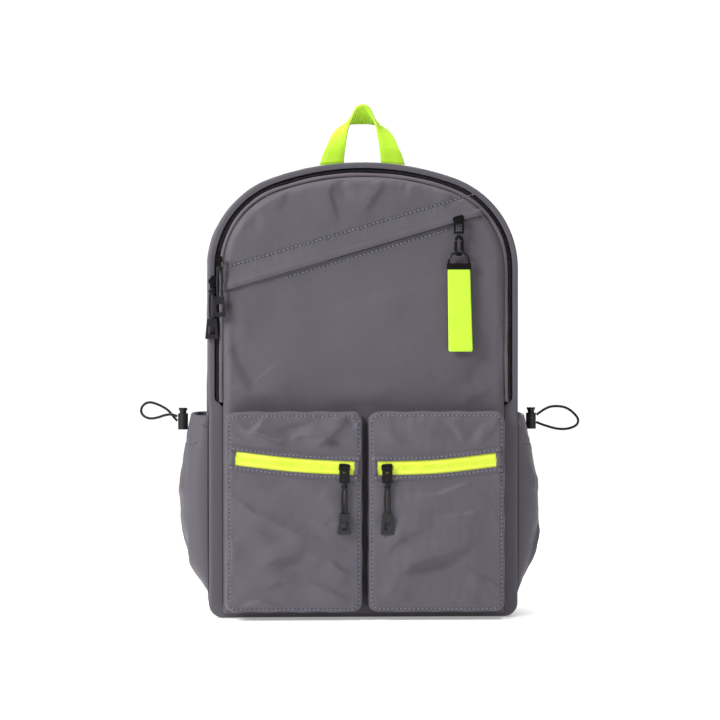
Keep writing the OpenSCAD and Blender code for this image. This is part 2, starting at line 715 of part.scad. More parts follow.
// The webbing runs from the anchor to the ladder lock and its tail hangs behind.
run_foot_z = anchor_z + 14;
run_top_z = frame_top_z - lock_frame_h;
run_dx = anchor_x - frame_x;
run_dz = run_top_z - run_foot_z;
run_len = norm([run_dx, run_dz]);
run_past = 8;
tail_len = 90;
module adjuster_webbing(side) color(BLACK) mirror([side < 0 ? 1 : 0, 0, 0]) {
    slab(back_y + anchor_t, back_y + anchor_t + web_t) translate([anchor_x, run_foot_z])
        rotate(atan2(run_dx, run_dz)) translate([-adjuster_w / 2, 0]) square([adjuster_w, run_len + run_past]);
    translate([frame_x - adjuster_w / 2, back_y + anchor_t, run_top_z + 5])
        cube([adjuster_w, frame_y + lock_frame_t + 2.4 - back_y - anchor_t, 4]);
    slab(frame_y + lock_frame_t + 0.4, frame_y + lock_frame_t + 0.4 + web_t)
        translate([frame_x - adjuster_w / 2, run_top_z + 9 - tail_len]) square([adjuster_w, tail_len]);
}
module adjuster_webbing_left() adjuster_webbing(-1);
module adjuster_webbing_right() adjuster_webbing(1);
module strap_anchors() color(GREY) for (side = [-1, 1]) mirror([side < 0 ? 1 : 0, 0, 0])
    slab(back_y, back_y + anchor_t) polygon([
        [half_w - 4, anchor_z - 24], [half_w - 4, anchor_z + 30],
        [anchor_x - 18, anchor_z + 26], [anchor_x - 18, anchor_z + 4], [anchor_x + 6, anchor_z - 24]]);

back_panel();
back_padding();
gusset();
base_panel();
lower_front_panel();
main_zip_rear_tape();
laptop_sleeve();
side_pocket_left();
side_pocket_right();
pocket_hem_left();
pocket_hem_right();
cord_lock_left();
cord_lock_right();
lock_spring_left();
lock_spring_right();
drawcord_left();
drawcord_right();
lock_button_left();
lock_button_right();
front_pocket_left();
front_pocket_right();
pocket_zip_left();
pocket_zip_right();
strap_yoke();
shoulder_strap_left();
shoulder_strap_right();
strap_anchors();
adjuster_webbing_left();
adjuster_webbing_right();
ladder_lock_left();
ladder_lock_right();
haul_handle();
upper_front_panel();
panel_piping();
main_zip_front_tape();
diagonal_flap();
diagonal_zip();
upper_slider();
upper_pull_link();
upper_pull_cord();
upper_pull_tip();
lower_slider();
lower_pull_link();
lower_pull_cord();
lower_pull_tip();
left_slider();
left_pull_tab();
left_pull_cord();
left_pull_tip();
right_slider();
right_pull_tab();
right_pull_cord();
right_pull_tip();
diagonal_slider();
diagonal_pull();
clasp_body();
clasp_gate();
key_ring();
key_crimp();
key_webbing();
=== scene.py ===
import math

import bmesh
import bpy
import numpy as np
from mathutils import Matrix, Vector


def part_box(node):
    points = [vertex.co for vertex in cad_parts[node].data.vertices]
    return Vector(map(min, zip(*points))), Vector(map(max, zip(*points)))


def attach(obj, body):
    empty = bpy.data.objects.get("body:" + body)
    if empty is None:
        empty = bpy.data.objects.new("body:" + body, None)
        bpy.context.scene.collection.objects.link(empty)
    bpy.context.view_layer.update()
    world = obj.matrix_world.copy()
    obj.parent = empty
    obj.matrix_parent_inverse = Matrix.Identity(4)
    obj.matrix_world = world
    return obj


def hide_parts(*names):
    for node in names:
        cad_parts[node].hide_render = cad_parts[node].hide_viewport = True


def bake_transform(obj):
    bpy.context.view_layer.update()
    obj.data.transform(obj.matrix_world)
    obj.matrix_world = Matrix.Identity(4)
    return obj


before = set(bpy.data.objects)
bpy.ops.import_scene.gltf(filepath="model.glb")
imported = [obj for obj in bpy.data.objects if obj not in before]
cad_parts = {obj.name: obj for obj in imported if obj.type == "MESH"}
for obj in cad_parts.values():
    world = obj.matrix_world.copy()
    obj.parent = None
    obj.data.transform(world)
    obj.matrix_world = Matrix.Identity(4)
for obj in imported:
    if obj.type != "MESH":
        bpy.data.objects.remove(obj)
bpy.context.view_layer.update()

MM = 0.001
SCENE = bpy.context.scene


# ---------------------------------------------------------------- sizes, from the frame

def low(node):
    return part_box(node)[0]


def high(node):
    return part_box(node)[1]


HALF_W = high("gusset").x
BODY_H = high("gusset").z
BACK_Y = high("back_panel").y
FRONT_Y = low("upper_front_panel").y
RIM_Y = low("gusset").y
TAPE_Y = high("upper_front_panel").y
BEND_Z = (high("lower_front_panel").z + low("upper_front_panel").z) / 2
PANEL_X = high("upper_front_panel").x
PANEL_INSET = HALF_W - PANEL_X
POCKET_Y = low("front_pocket_left").y
CORNER_R = 95 * MM
DOME_RISE = 10 * MM
FOOT_R = 14 * MM
CORNER_X = HALF_W - CORNER_R
CORNER_Z = BODY_H - DOME_RISE - CORNER_R
DOME_R = CORNER_R + (CORNER_X ** 2 / DOME_RISE + DOME_RISE) / 2
DOME_Z = BODY_H - DOME_R
DOME_A = math.atan2(CORNER_X, CORNER_Z - DOME_Z)
FOLD_A = math.radians(16.4)
FOLD_Z = 319 * MM
SIDE_TOP_Z = high("pocket_hem_left").z
HEM_Z = high("side_pocket_left").z
SIDE_FOOT_Z = low("side_pocket_left").z


# ---------------------------------------------------------------- camera

CAMERA_AWAY = 4.0
CAMERA_TURN = math.radians(-3)
CAMERA_RISE = math.radians(1.5)
AIM = Vector((-1 * MM, 0, 253 * MM))


def add_camera():
    data = bpy.data.cameras.new("camera")
    data.sensor_width = 36
    data.lens = 36 * CAMERA_AWAY / 0.720
    camera = bpy.data.objects.new("camera", data)
    SCENE.collection.objects.link(camera)
    away = Vector((math.sin(CAMERA_TURN) * math.cos(CAMERA_RISE),
                   -math.cos(CAMERA_TURN) * math.cos(CAMERA_RISE), math.sin(CAMERA_RISE)))
    camera.location = AIM + away * CAMERA_AWAY
    camera.rotation_euler = (-away).to_track_quat("-Z", "Y").to_euler()
    SCENE.camera = camera


add_camera()


# ---------------------------------------------------------------- mesh helpers

def add_mesh(name, verts, faces, smooth=True):
    name = name + "_cloth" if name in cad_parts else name
    mesh = bpy.data.meshes.new(name)
    mesh.from_pydata([tuple(v) for v in verts], [], faces)
    mesh.validate()
    piece = bpy.data.objects.new(name, mesh)
    SCENE.collection.objects.link(piece)
    if smooth:
        mesh.shade_smooth()
    return piece


def place(piece, body, material, replaces=()):
    piece.data.materials.clear()
    piece.data.materials.append(material)
    if body:
        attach(piece, body)
    if replaces:
        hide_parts(*replaces)
    return piece


def grid_faces(nu, nv, wrap_u=False, wrap_v=False):
    """Quads of a grid of nu by nv points, with v running fastest."""
    faces = []
    for i in range(nu if wrap_u else nu - 1):
        for j in range(nv if wrap_v else nv - 1):
            a, b = i, (i + 1) % nu
            c, d = j, (j + 1) % nv
            faces.append((a * nv + c, b * nv + c, b * nv + d, a * nv + d))
    return faces


def ring_faces(rings, sides):
    """Quads between closed rings of points, turned the other way from grid_faces."""
    faces = []
    for i in range(rings - 1):
        for j in range(sides):
            a, b = i * sides + j, i * sides + (j + 1) % sides
            faces.append((a, b, b + sides, a + sides))
    return faces


def domed_mesh(name, verts, count, middle):
    """A closed mesh: rings of count points narrow to one at the middle (x, z), over a flat back."""
    loops = len(verts) // count
    faces = ring_faces(loops, count)
    verts.append((middle[0], verts[-1][1], middle[1]))
    last = (loops - 1) * count
    faces += [(last + j, last + (j + 1) % count, len(verts) - 1) for j in range(count)]
    faces.append(tuple(range(count - 1, -1, -1)))
    return add_mesh(name, verts, faces)


def lay_weave(piece, spot):
    """Gives a webbing piece the UVs spot(vertex index): across and along the band."""
    uv = piece.data.uv_layers.new(name="weave")
    for face in piece.data.polygons:
        for loop in face.loop_indices:
            uv.data[loop].uv = spot(piece.data.loops[loop].vertex_index)


def thicken(piece, thickness, toward=None):
    """Faces a sheet toward a direction, or away from its own middle, and adds cloth behind it."""
    mesh = piece.data
    middle = sum((v.co for v in mesh.vertices), Vector()) / len(mesh.vertices)
    facing = 0.0
    for face in mesh.polygons:
        way = toward if toward is not None else (face.center - middle).normalized()
        facing += face.area * face.normal.dot(way)
    if facing < 0:
        mesh.flip_normals()
    if thickness:
        modify(piece, "SOLIDIFY", thickness=thickness, offset=-1)
        settle(piece)
    piece.data.shade_smooth()


def face_out(piece):
    """Turns every face of a closed piece outward."""
    shape = bmesh.new()
    shape.from_mesh(piece.data)
    bmesh.ops.recalc_face_normals(shape, faces=shape.faces)
    shape.to_mesh(piece.data)
    shape.free()


def modify(piece, kind, **values):
    modifier = piece.modifiers.new(kind.lower(), kind)
    for key, value in values.items():
        setattr(modifier, key, value)
    return modifier


def settle(piece):
    """Applies a piece's modifiers to its mesh."""
    graph = bpy.context.evaluated_depsgraph_get()
    mesh = bpy.data.meshes.new_from_object(piece.evaluated_get(graph))
    piece.modifiers.clear()
    piece.data = mesh


def join_meshes(name, parts):
    """One object from a list of (verts, faces)."""
    verts, faces = [], []
    for part_verts, part_faces in parts:
        base = len(verts)
        verts.extend(part_verts)
        faces.extend([tuple(base + k for k in face) for face in part_faces])
    return add_mesh(name, verts, faces)


def smooth_line(points, step):
    """Catmull-Rom curve through the points, resampled to even steps of about that length."""
    pts = [Vector(p) for p in points]
    pts = [2 * pts[0] - pts[1]] + pts + [2 * pts[-1] - pts[-2]]
    dense = []
    for i in range(1, len(pts) - 2):
        a, b, c, d = pts[i - 1:i + 3]
        for k in range(12):
            t = k / 12
            dense.append(0.5 * (2 * b + (c - a) * t + (2 * a - 5 * b + 4 * c - d) * t * t
                                + (3 * b - a - 3 * c + d) * t ** 3))
    dense.append(pts[-2])
    return even_line(dense, step)


def even_line(points, step):
    lengths = [0.0]
    for a, b in zip(points, points[1:]):
        lengths.append(lengths[-1] + (b - a).length)
    count = max(2, round(lengths[-1] / step) + 1)
    out, k = [], 0
    for i in range(count):
        s = lengths[-1] * i / (count - 1)
        while k < len(points) - 2 and lengths[k + 1] < s:
            k += 1
        span = max(lengths[k + 1] - lengths[k], 1e-12)
        out.append(points[k].lerp(points[k + 1], (s - lengths[k]) / span))
    return out


def line_length(points):
    return sum((b - a).length for a, b in zip(points, points[1:]))


def frames_along(points):
    """Heading, side and up at each point, turned as little as possible from one to the next."""
    out = []
    side = None
    for i in range(len(points)):
        heading = (points[min(i + 1, len(points) - 1)] - points[max(i - 1, 0)]).normalized()
        if side is None:
            side = heading.cross(Vector((0, 1, 0)))
            if side.length < 0.1:
                side = heading.cross(Vector((1, 0, 0)))
        side = (side - heading * side.dot(heading)).normalized()
        out.append((heading, side, heading.cross(side)))
    return out


def tube_mesh(points, radius, sides=10):
    """Verts and faces of a capped tube along the points. radius may be a function of 0 to 1."""
    verts, faces = [], []
    last = len(points) - 1
    for i, (p, (_, side, up)) in enumerate(zip(points, frames_along(points))):
        r = radius(i / last) if callable(radius) else radius
        for j in range(sides):
            a = 2 * math.pi * j / sides
            verts.append(p + side * (r * math.cos(a)) + up * (r * math.sin(a)))
    faces = ring_faces(last + 1, sides)
    faces.append(tuple(range(sides - 1, -1, -1)))
    faces.append(tuple(last * sides + j for j in range(sides)))
    return verts, faces


def ribbon_mesh(points, across, normals, width, thick, edge=0.35):
    """A flat band along the points: across is the width's direction, with rounded edges."""
    half_w, half_t = width / 2, thick / 2
    section = [(-1, 0), (-1 + edge * 0.06, 0.8), (-1 + 0.1, 1), (-0.5, 1), (0, 1), (0.5, 1), (1 - 0.1, 1),
               (1 - edge * 0.06, 0.8), (1, 0), (1 - edge * 0.06, -0.8), (1 - 0.1, -1), (0.5, -1), (0, -1),
               (-0.5, -1), (-1 + 0.1, -1), (-1 + edge * 0.06, -0.8)]
    n = len(section)
    verts = []
    for p, side, up in zip(points, across, normals):
        for x, y in section:
            verts.append(p + side * (x * half_w) + up * (y * half_t))
    last = len(points) - 1
    faces = grid_faces(last + 1, n, wrap_v=True)
    faces.append(tuple(range(n)))
    faces.append(tuple(last * n + j for j in range(n - 1, -1, -1)))
    return verts, faces


# ---------------------------------------------------------------- free cords

CORD_D = 2.5 * MM
LEFT_ROUTE = [
    (-183.5, -2, 197), (-187, -2, 198.5), (-191.5, -2, 199), (-197, -2, 198), (-203, -1.5, 196),
    (-210, -1, 195), (-215.5, 0, 196.5), (-219, 0, 200), (-219.5, 0, 204), (-218, 0, 207.5),
    (-215, 0.5, 210), (-211, 1, 211), (-206, 1.5, 210), (-200, 2, 207.5), (-194, 2, 204),
    (-189.5, 2, 199.5), (-186.5, 2, 195.5), (-183.5, 2, 192.5)]
RIGHT_ROUTE = [
    (176, -2, 198), (179.5, -2, 200.5), (184, -2, 203.5), (190, -1.5, 206), (197, -1, 206.5),
    (204, 0, 205.5), (210, 0, 202.5), (215, 0, 198), (218, 0, 193.5), (217.5, 0, 189),
    (214, 0, 186), (208, 0, 184), (201, 0, 183.5), (194, 1, 184.5), (187, 2, 186.5),
    (181, 2, 188.5), (176, 2, 190.5)]


def add_cord(name, route, node):
    points = smooth_line([Vector(p) * MM for p in route], 2 * MM)
    data = bpy.data.curves.new(name, "CURVE")
    data.dimensions = "3D"
    data.bevel_depth = CORD_D / 2
    data.bevel_resolution = 4
    data.use_fill_caps = True
    spline = data.splines.new("POLY")
    spline.points.add(len(points) - 1)
    for target, p in zip(spline.points, points):
        target.co = (p.x, p.y, p.z, 1)
        target.radius = 1
    spline.use_smooth = True
    piece = bpy.data.objects.new(name, data)
    SCENE.collection.objects.link(piece)
    return piece, node


FREE_CORDS = [add_cord("shock_cord_left", LEFT_ROUTE, "drawcord_left"),
              add_cord("shock_cord_right", RIGHT_ROUTE, "drawcord_right")]

# ---------------------------------------------------------------- materials


def srgb(r, g, b):
    """Linear colour from 0 to 255 display values."""
    def channel(v):
        v /= 255
        return v / 12.92 if v <= 0.04045 else ((v + 0.055) / 1.055) ** 2.4
    return (channel(r), channel(g), channel(b), 1)


def link(tree, a, b):
    tree.links.new(a, b)


def texture(tree, kind, scale, detail=2.0, coords=None, **values):
    node = tree.nodes.new(kind)
    node.inputs["Scale"].default_value = scale
    if "Detail" in node.inputs:
        node.inputs["Detail"].default_value = detail
    for key, value in values.items():
        setattr(node, key, value)
    if coords is not None:
        link(tree, coords, node.inputs["Vector"])
    return node


def make_material(name, colour, roughness, other=None, vary=40.0, sheen=0.0, metallic=0.0, specular=0.5,
                  bumps=(), uses_uv=False, coat=0.0):
    """A node material: its colour drifts between two shades, and bumps are (kind, scale, height, values)."""
    material = bpy.data.materials.new(name)
    material.use_nodes = True
    tree = material.node_tree
    shader = tree.nodes["Principled BSDF"]
    shader.inputs["Roughness"].default_value = roughness
    shader.inputs["Metallic"].default_value = metallic
    shader.inputs["Specular IOR Level"].default_value = specular
    shader.inputs["Sheen Weight"].default_value = sheen
    shader.inputs["Sheen Roughness"].default_value = 0.4
    shader.inputs["Coat Weight"].default_value = coat
    coords_node = tree.nodes.new("ShaderNodeTexCoord")
    coords = coords_node.outputs["UV" if uses_uv else "Object"]
    solid = coords_node.outputs["Object"]
    drift = texture(tree, "ShaderNodeTexNoise", vary, 4.0, solid)
    ramp = tree.nodes.new("ShaderNodeValToRGB")
    ramp.color_ramp.elements[0].position = 0.3
    ramp.color_ramp.elements[1].position = 0.7
    ramp.color_ramp.elements[0].color = colour
    ramp.color_ramp.elements[1].color = other or tuple(c * 0.9 for c in colour[:3]) + (1,)
    link(tree, drift.outputs["Fac"], ramp.inputs["Fac"])
    link(tree, ramp.outputs["Color"], shader.inputs["Base Color"])
    previous = None
    for kind, scale, height, values in bumps:
        node = texture(tree, kind, scale, 2.0, coords, **values)
        bump = tree.nodes.new("ShaderNodeBump")
        bump.inputs["Strength"].default_value = 1.0
        bump.inputs["Distance"].default_value = height
        out = node.outputs["Fac"] if "Fac" in node.outputs else node.outputs["Distance"]
        link(tree, out, bump.inputs["Height"])
        if previous:
            link(tree, previous.outputs["Normal"], bump.inputs["Normal"])
        previous = bump
    if previous:
        link(tree, previous.outputs["Normal"], shader.inputs["Normal"])
    return material


WAVE = "ShaderNodeTexWave"
NOISE = "ShaderNodeTexNoise"
VORONOI = "ShaderNodeTexVoronoi"


def wave(direction):
    return {"wave_type": "BANDS", "bands_direction": direction, "wave_profile": "SIN"}


WEAVE = [(WAVE, 420, 0.00003, wave("X")), (WAVE, 420, 0.00003, wave("Z")), (NOISE, 260, 0.00012, {})]
SHELL = make_material("shell_fabric", srgb(87, 83, 91), 0.58, srgb(82, 78, 86), 9, sheen=0.1,
                      specular=0.32, bumps=WEAVE)
LINING = make_material("lining", srgb(70, 68, 72), 0.75, srgb(64, 62, 66), 20, sheen=0.1,
                       bumps=[(WAVE, 300, 0.00006, wave("X")), (WAVE, 300, 0.00006, wave("Z"))])
PIPING = make_material("piping", srgb(96, 89, 96), 0.6, srgb(88, 82, 88), 30, sheen=0.15,
                       specular=0.3, bumps=[(WAVE, 300, 0.00005, wave("DIAGONAL"))])
MESH_CLOTH = make_material("spacer_mesh", srgb(72, 69, 76), 0.85, srgb(60, 58, 64), 60, sheen=0.3,
                           specular=0.2, bumps=[(VORONOI, 330, 0.0006, {}), (NOISE, 900, 0.0001, {})])
STRAP_CLOTH = make_material("strap_cloth", srgb(88, 84, 92), 0.62, srgb(82, 78, 86), 12, sheen=0.15,
                            specular=0.3, bumps=WEAVE)
ZIP_TAPE = make_material("zip_tape", srgb(30, 28, 33), 0.75, srgb(24, 23, 26), 90, sheen=0.12,
                         specular=0.2, bumps=[(WAVE, 500, 0.00008, wave("DIAGONAL"))])
ZIP_TEETH = make_material("zip_teeth", srgb(46, 43, 49), 0.4, srgb(38, 35, 41), 120, specular=0.5,
                          bumps=[(NOISE, 900, 0.00003, {})])
LIME_TAPE = make_material("lime_tape", srgb(232, 248, 92), 0.66, srgb(220, 238, 64), 50, sheen=0.2,
                          specular=0.25,
                          bumps=[(WAVE, 480, 0.00008, wave("X")), (WAVE, 480, 0.00006, wave("Z"))])
LIME_TEETH = make_material("lime_teeth", srgb(226, 243, 80), 0.45, srgb(212, 230, 60), 90, specular=0.5,
                           bumps=[(NOISE, 900, 0.00003, {})])
LIME_WEB = make_material("lime_webbing", srgb(200, 248, 66), 0.6, srgb(190, 240, 52), 60, sheen=0.2,
                         specular=0.25, uses_uv=True,
                         bumps=[(WAVE, 5.4, 0.0001, wave("X")), (WAVE, 95, 0.00002, wave("Y"))])
BLACK_WEB = make_material("black_webbing", srgb(40, 39, 43), 0.7, srgb(32, 31, 35), 80, sheen=0.3,
                          specular=0.2, uses_uv=True,
                          bumps=[(WAVE, 5.4, 0.0005, wave("X")), (WAVE, 95, 0.00012, wave("Y"))])
CORD_BRAID = make_material("cord_braid", srgb(25, 24, 27), 0.6, srgb(17, 16, 18), 300, sheen=0.12,
                           specular=0.3, bumps=[(VORONOI, 900, 0.0003, {})])
PLASTIC = make_material("black_plastic", srgb(27, 26, 29), 0.36, srgb(21, 20, 23), 60, specular=0.5,
                        bumps=[(NOISE, 700, 0.00005, {})])
METAL = make_material("black_metal", srgb(30, 28, 30), 0.24, srgb(22, 21, 23), 80, metallic=0.5, specular=0.6,
                      bumps=[(NOISE, 500, 0.00004, {})])
SPRING = make_material("spring_steel", srgb(190, 190, 192), 0.28, srgb(170, 170, 172), 90, metallic=1.0,
                       bumps=[(NOISE, 900, 0.00002, {})])
THREAD = make_material("thread", srgb(132, 134, 148), 0.6, srgb(116, 118, 132), 200, sheen=0.3,
                       specular=0.3, bumps=[(WAVE, 900, 0.00004, wave("DIAGONAL"))])
# painted shade: a dark colour for the sunken gap between stitches, where the thread dips into the cloth and
# shade falls
NEEDLE_HOLE_SHADE = make_material("needle_hole_shade", srgb(52, 50, 56), 0.8, srgb(44, 42, 48), 200,
                            specular=0.1, bumps=[(NOISE, 900, 0.00004, {})])
FLOOR = make_material("floor", srgb(252, 252, 252), 0.9, srgb(250, 250, 250), 3, specular=0.1,
                      bumps=[(NOISE, 60, 0.00002, {})])
FLOOR_GLOW = 0.3
FLOOR.node_tree.nodes["Principled BSDF"].inputs["Emission Color"].default_value = (1, 1, 1, 1)
FLOOR.node_tree.nodes["Principled BSDF"].inputs["Emission Strength"].default_value = FLOOR_GLOW

for cord, cord_node in FREE_CORDS:
    place(cord, "bag", CORD_BRAID, [cord_node])


# ---------------------------------------------------------------- light and floor

ROOM_LIGHT = 0.2
SEEN_WHITE = 1.05
FLOOR_HALF = 1.35


def add_area(name, location, target, size, power, colour=(1, 1, 1)):
    data = bpy.data.lights.new(name, "AREA")
    data.shape = "RECTANGLE"
    data.size, data.size_y = size
    data.energy = power
    data.color = colour
    light = bpy.data.objects.new(name, data)
    light.location = location
    light.rotation_euler = (Vector(target) - Vector(location)).to_track_quat("-Z", "Y").to_euler()
    SCENE.collection.objects.link(light)


def add_stage():
    world = bpy.data.worlds.new("studio")
    world.use_nodes = True
    tree = world.node_tree
    background = tree.nodes["Background"]
    background.inputs["Color"].default_value = (1, 1, 1, 1)
    background.inputs["Strength"].default_value = ROOM_LIGHT
    seen = tree.nodes.new("ShaderNodeBackground")
    seen.inputs["Color"].default_value = (1, 1, 1, 1)
    seen.inputs["Strength"].default_value = SEEN_WHITE
    rays = tree.nodes.new("ShaderNodeLightPath")
    mix = tree.nodes.new("ShaderNodeMixShader")
    link(tree, rays.outputs["Is Camera Ray"], mix.inputs["Fac"])
    link(tree, background.outputs["Background"], mix.inputs[1])
    link(tree, seen.outputs["Background"], mix.inputs[2])
    link(tree, mix.outputs["Shader"], tree.nodes["World Output"].inputs["Surface"])
    SCENE.world = world
    SCENE.view_settings.view_transform = "Standard"
    corners = [(x * FLOOR_HALF, y * FLOOR_HALF, 0) for x, y in ((-1, -1), (1, -1), (1, 1), (-1, 1))]
    floor = add_mesh("floor", corners, [(0, 1, 2, 3)], smooth=False)
    floor.location.z = -0.4 * MM
    floor.data.materials.append(FLOOR)
    add_area("key", (-1.6, -1.1, 1.35), (0, 0, 0.2), (0.8, 0.9), 54)
    add_area("fill", (1.5, -2.4, 0.9), (0, 0, 0.2), (1.2, 1.2), 5)
    add_area("top", (0.2, -0.2, 2.2), (0, 0, 0.3), (1.0, 0.8), 26)
    add_area("back", (0.6, 2.0, 1.3), (0, 0, 0.25), (1.2, 1.0), 34)


add_stage()


# ---------------------------------------------------------------- cloth height fields

def smoothstep(t):
    t = np.clip(t, 0, 1)
    return t * t * (3 - 2 * t)


def ripple(u, v, wave_length, seed, waves=9):
    """Soft random waves of about one wave length, in arrays of the same shape as u, from -1 to 1."""
    rng = np.random.default_rng(seed)
    total = np.zeros_like(u)
    for _ in range(waves):
        turn = rng.uniform(0, math.pi)
        length = wave_length * rng.uniform(0.7, 1.5)
        phase = rng.uniform(0, 2 * math.pi)
        total += np.sin(2 * math.pi * (u * math.cos(turn) + v * math.sin(turn)) / length + phase)
    return total / math.sqrt(waves) / 1.5


def rounded_box(centre, half, radius, count):
    """count points once round a rounded rectangle in the plane y = 0, its centre and half sizes as (x, z)."""
    line = []
    for sx, sz, start in ((1, 1, 0), (-1, 1, 90), (-1, -1, 180), (1, -1, 270)):
        for k in range(9):
            a = math.radians(start + 90 * k / 8)
            line.append(Vector((centre[0] + sx * (half[0] - radius) + radius * math.cos(a), 0,
                                centre[1] + sz * (half[1] - radius) + radius * math.sin(a))))
    line.append(line[0].copy())
    return even_line(line, line_length(line) / count)[:-1]


def beside(*grids):
    """Joins grids of columns (x, y, z), one after another up the column."""
    return [np.concatenate(part, 1) for part in zip(*grids)]


def round_rise(gap, roll):
    """From 0 at an edge to 1 at roll inside it, as a quarter circle."""
    return np.sqrt(np.clip(1 - (1 - np.clip(gap / roll, 0, 1)) ** 2, 0, 1))


def crease(u, v, points, height, above, below, taper=0.42):
    """A ridge along a line of points, in millimetres: its two sides fall away over above and below."""
    steep, soft = (0.72, 1.5) if above < below else (1.5, 0.72) if above > below else (1.0, 1.0)
    above, below = above * steep, below * soft
    u, v = u / MM, v / MM
    pts = [np.array(p, float) for p in points]
    lengths = [np.linalg.norm(b - a) for a, b in zip(pts, pts[1:])]
    whole = sum(lengths)
    nearest = np.full(u.shape, 1e9)
    share = np.zeros_like(u)
    signed = np.zeros_like(u)
    done = 0.0
    for a, b, length in zip(pts, pts[1:], lengths):
        d = (b - a) / length
        along = np.clip((u - a[0]) * d[0] + (v - a[1]) * d[1], 0, length)
        du, dv = u - a[0] - along * d[0], v - a[1] - along * d[1]
        gap = np.hypot(du, dv)
        closer = gap < nearest
        nearest = np.where(closer, gap, nearest)
        share = np.where(closer, (done + along) / whole, share)
        signed = np.where(closer, d[0] * dv - d[1] * du, signed)
        done += length
    width = np.where(signed > 0, above, below)
    ends = smoothstep(share / taper) * smoothstep((1 - share) / taper)
    return height * MM * np.exp(-(nearest / width) ** 2) * ends


def creases(u, v, rows):
    total = np.zeros_like(u)
    for row in rows:
        total = total + crease(u, v, *row)
    return total


# ---------------------------------------------------------------- the bag's outline

def arch_top(x, inset=0.0):
    """Height of the arch at x, for an outline that much inside the bag's."""
    x = np.abs(np.asarray(x, float))
    corner, dome = CORNER_R - inset, DOME_R - inset
    split = CORNER_X + corner * math.sin(DOME_A)
    on_dome = DOME_Z + np.sqrt(np.maximum(dome ** 2 - x ** 2, 0))
    on_corner = CORNER_Z + np.sqrt(np.maximum(corner ** 2 - (x - CORNER_X) ** 2, 0))
    return np.where(x < split, on_dome, on_corner)


def arch_points(inset, start_z, step):
    """Points and outward normals (x, z) over the arch from the left side to the right side."""
    line = []
    side_x, corner, dome = HALF_W - inset, CORNER_R - inset, DOME_R - inset
    line.append((Vector((side_x, 0, start_z)), Vector((1, 0, 0))))
    count = 40
    for k in range(count + 1):
        a = (math.pi / 2 - DOME_A) * k / count
        n = Vector((math.cos(a), 0, math.sin(a)))
        line.append((Vector((CORNER_X, 0, CORNER_Z)) + n * corner, n))
    for k in range(1, count + 1):
        a = DOME_A * (1 - k / count)
        n = Vector((math.sin(a), 0, math.cos(a)))
        line.append((Vector((0, 0, DOME_Z)) + n * dome, n))
    right = even_line([p for p, _ in line], step)
    points = [Vector((-p.x, 0, p.z)) for p in right] + right[-2::-1]
    normals = []
    for i in range(len(points)):
        d = (points[min(i + 1, len(points) - 1)] - points[max(i - 1, 0)]).normalized()
        normals.append(Vector((-d.z, 0, d.x)))
    return points, normals


def edge_gap(x, z, inset):
    """How far a point lies inside the arch outline that is that much inside the bag's."""
    x = np.abs(x)
    side = HALF_W - inset - x
    corner = CORNER_R - inset - np.hypot(x - CORNER_X, z - CORNER_Z)
    dome = DOME_R - inset - np.hypot(x, z - DOME_Z)
    over = np.where(x - CORNER_X > (z - CORNER_Z) * math.tan(DOME_A), corner, dome)
    return np.where(z < CORNER_Z, side, over)


def column_grid(half_x, foot_z, inset, across, up):
    """Arrays x and z of columns that rise from foot_z to the arch, closer together at the sides."""
    s = np.linspace(-1, 1, across)
    x = half_x * np.sin(s * math.pi / 2)
    top = arch_top(x, inset)
    top = np.where(np.abs(x) > half_x - 1e-9, CORNER_Z, top)
    t = np.linspace(0, 1, up)
    x = np.repeat(x[:, None], up, 1)
    z = foot_z + (top[:, None] - foot_z) * t[None, :]
    drop = np.clip(FOOT_R - z, 0, FOOT_R)
    cut = (FOOT_R - np.sqrt(FOOT_R ** 2 - drop ** 2)) if half_x > HALF_W - 5 * MM else 0
    return x * (half_x - cut) / half_x, z


FORWARD = Vector((0, -1, 0))
BACKWARD = Vector((0, 1, 0))


def sheet_object(name, x, y, z, thick, toward=FORWARD):
    """A cloth sheet of the grid x, y, z with a thickness added on its hidden side."""
    piece = add_mesh(name, np.stack([x, y, z], -1).reshape(-1, 3), grid_faces(*x.shape))
    thicken(piece, thick, toward)
    return piece


# ---------------------------------------------------------------- front panel

PANEL_FOOT_Z = low("lower_front_panel").z
PANEL_EDGE_Y = RIM_Y - 0.8 * MM
PANEL_FOLDS = [
    ([(-33, 436), (-36, 418), (-30, 398), (-27, 384)], 1.7, 5, 9),
    ([(-24, 440), (-22, 424), (-14, 408)], -1.3, 6, 6),
    ([(18, 440), (14, 424), (4, 410), (-8, 396)], 1.8, 6, 8),
    ([(46, 440), (40, 426), (38, 410)], -1.2, 6, 9),
    ([(76, 436), (82, 424), (92, 414)], 1.9, 5, 7),
    ([(96, 428), (92, 420), (84, 412)], -1.1, 5, 6),
    ([(-74, 432), (-84, 414), (-88, 396)], 1.2, 7, 10),
    ([(-112, 408), (-108, 392), (-112, 376)], -0.9, 8, 8),
    ([(-130, 300), (-124, 262), (-110, 232), (-84, 214)], -2.2, 16, 10),
    ([(-132, 236), (-112, 222), (-84, 216)], 1.4, 8, 10),
    ([(132, 298), (122, 262), (108, 236), (86, 216)], -1.8, 14, 12),
    ([(132, 232), (112, 222), (92, 214)], 1.2, 8, 9),
    ([(-40, 226), (0, 219), (46, 224)], 0.9, 9, 9),
    ([(120, 372), (126, 340), (128, 310)], 0.9, 9, 9),
    ([(-126, 310), (-118, 286), (-122, 262)], 0.8, 9, 9),
    ([(60, 330), (20, 300), (-30, 290)], 0.5, 26, 30),
]
SEAM_TURN = (math.cos(FOLD_A), math.sin(FOLD_A))
STITCH_UP = 21 * MM


def fold_z(x):
    return FOLD_Z + (x + HALF_W) * math.tan(FOLD_A)


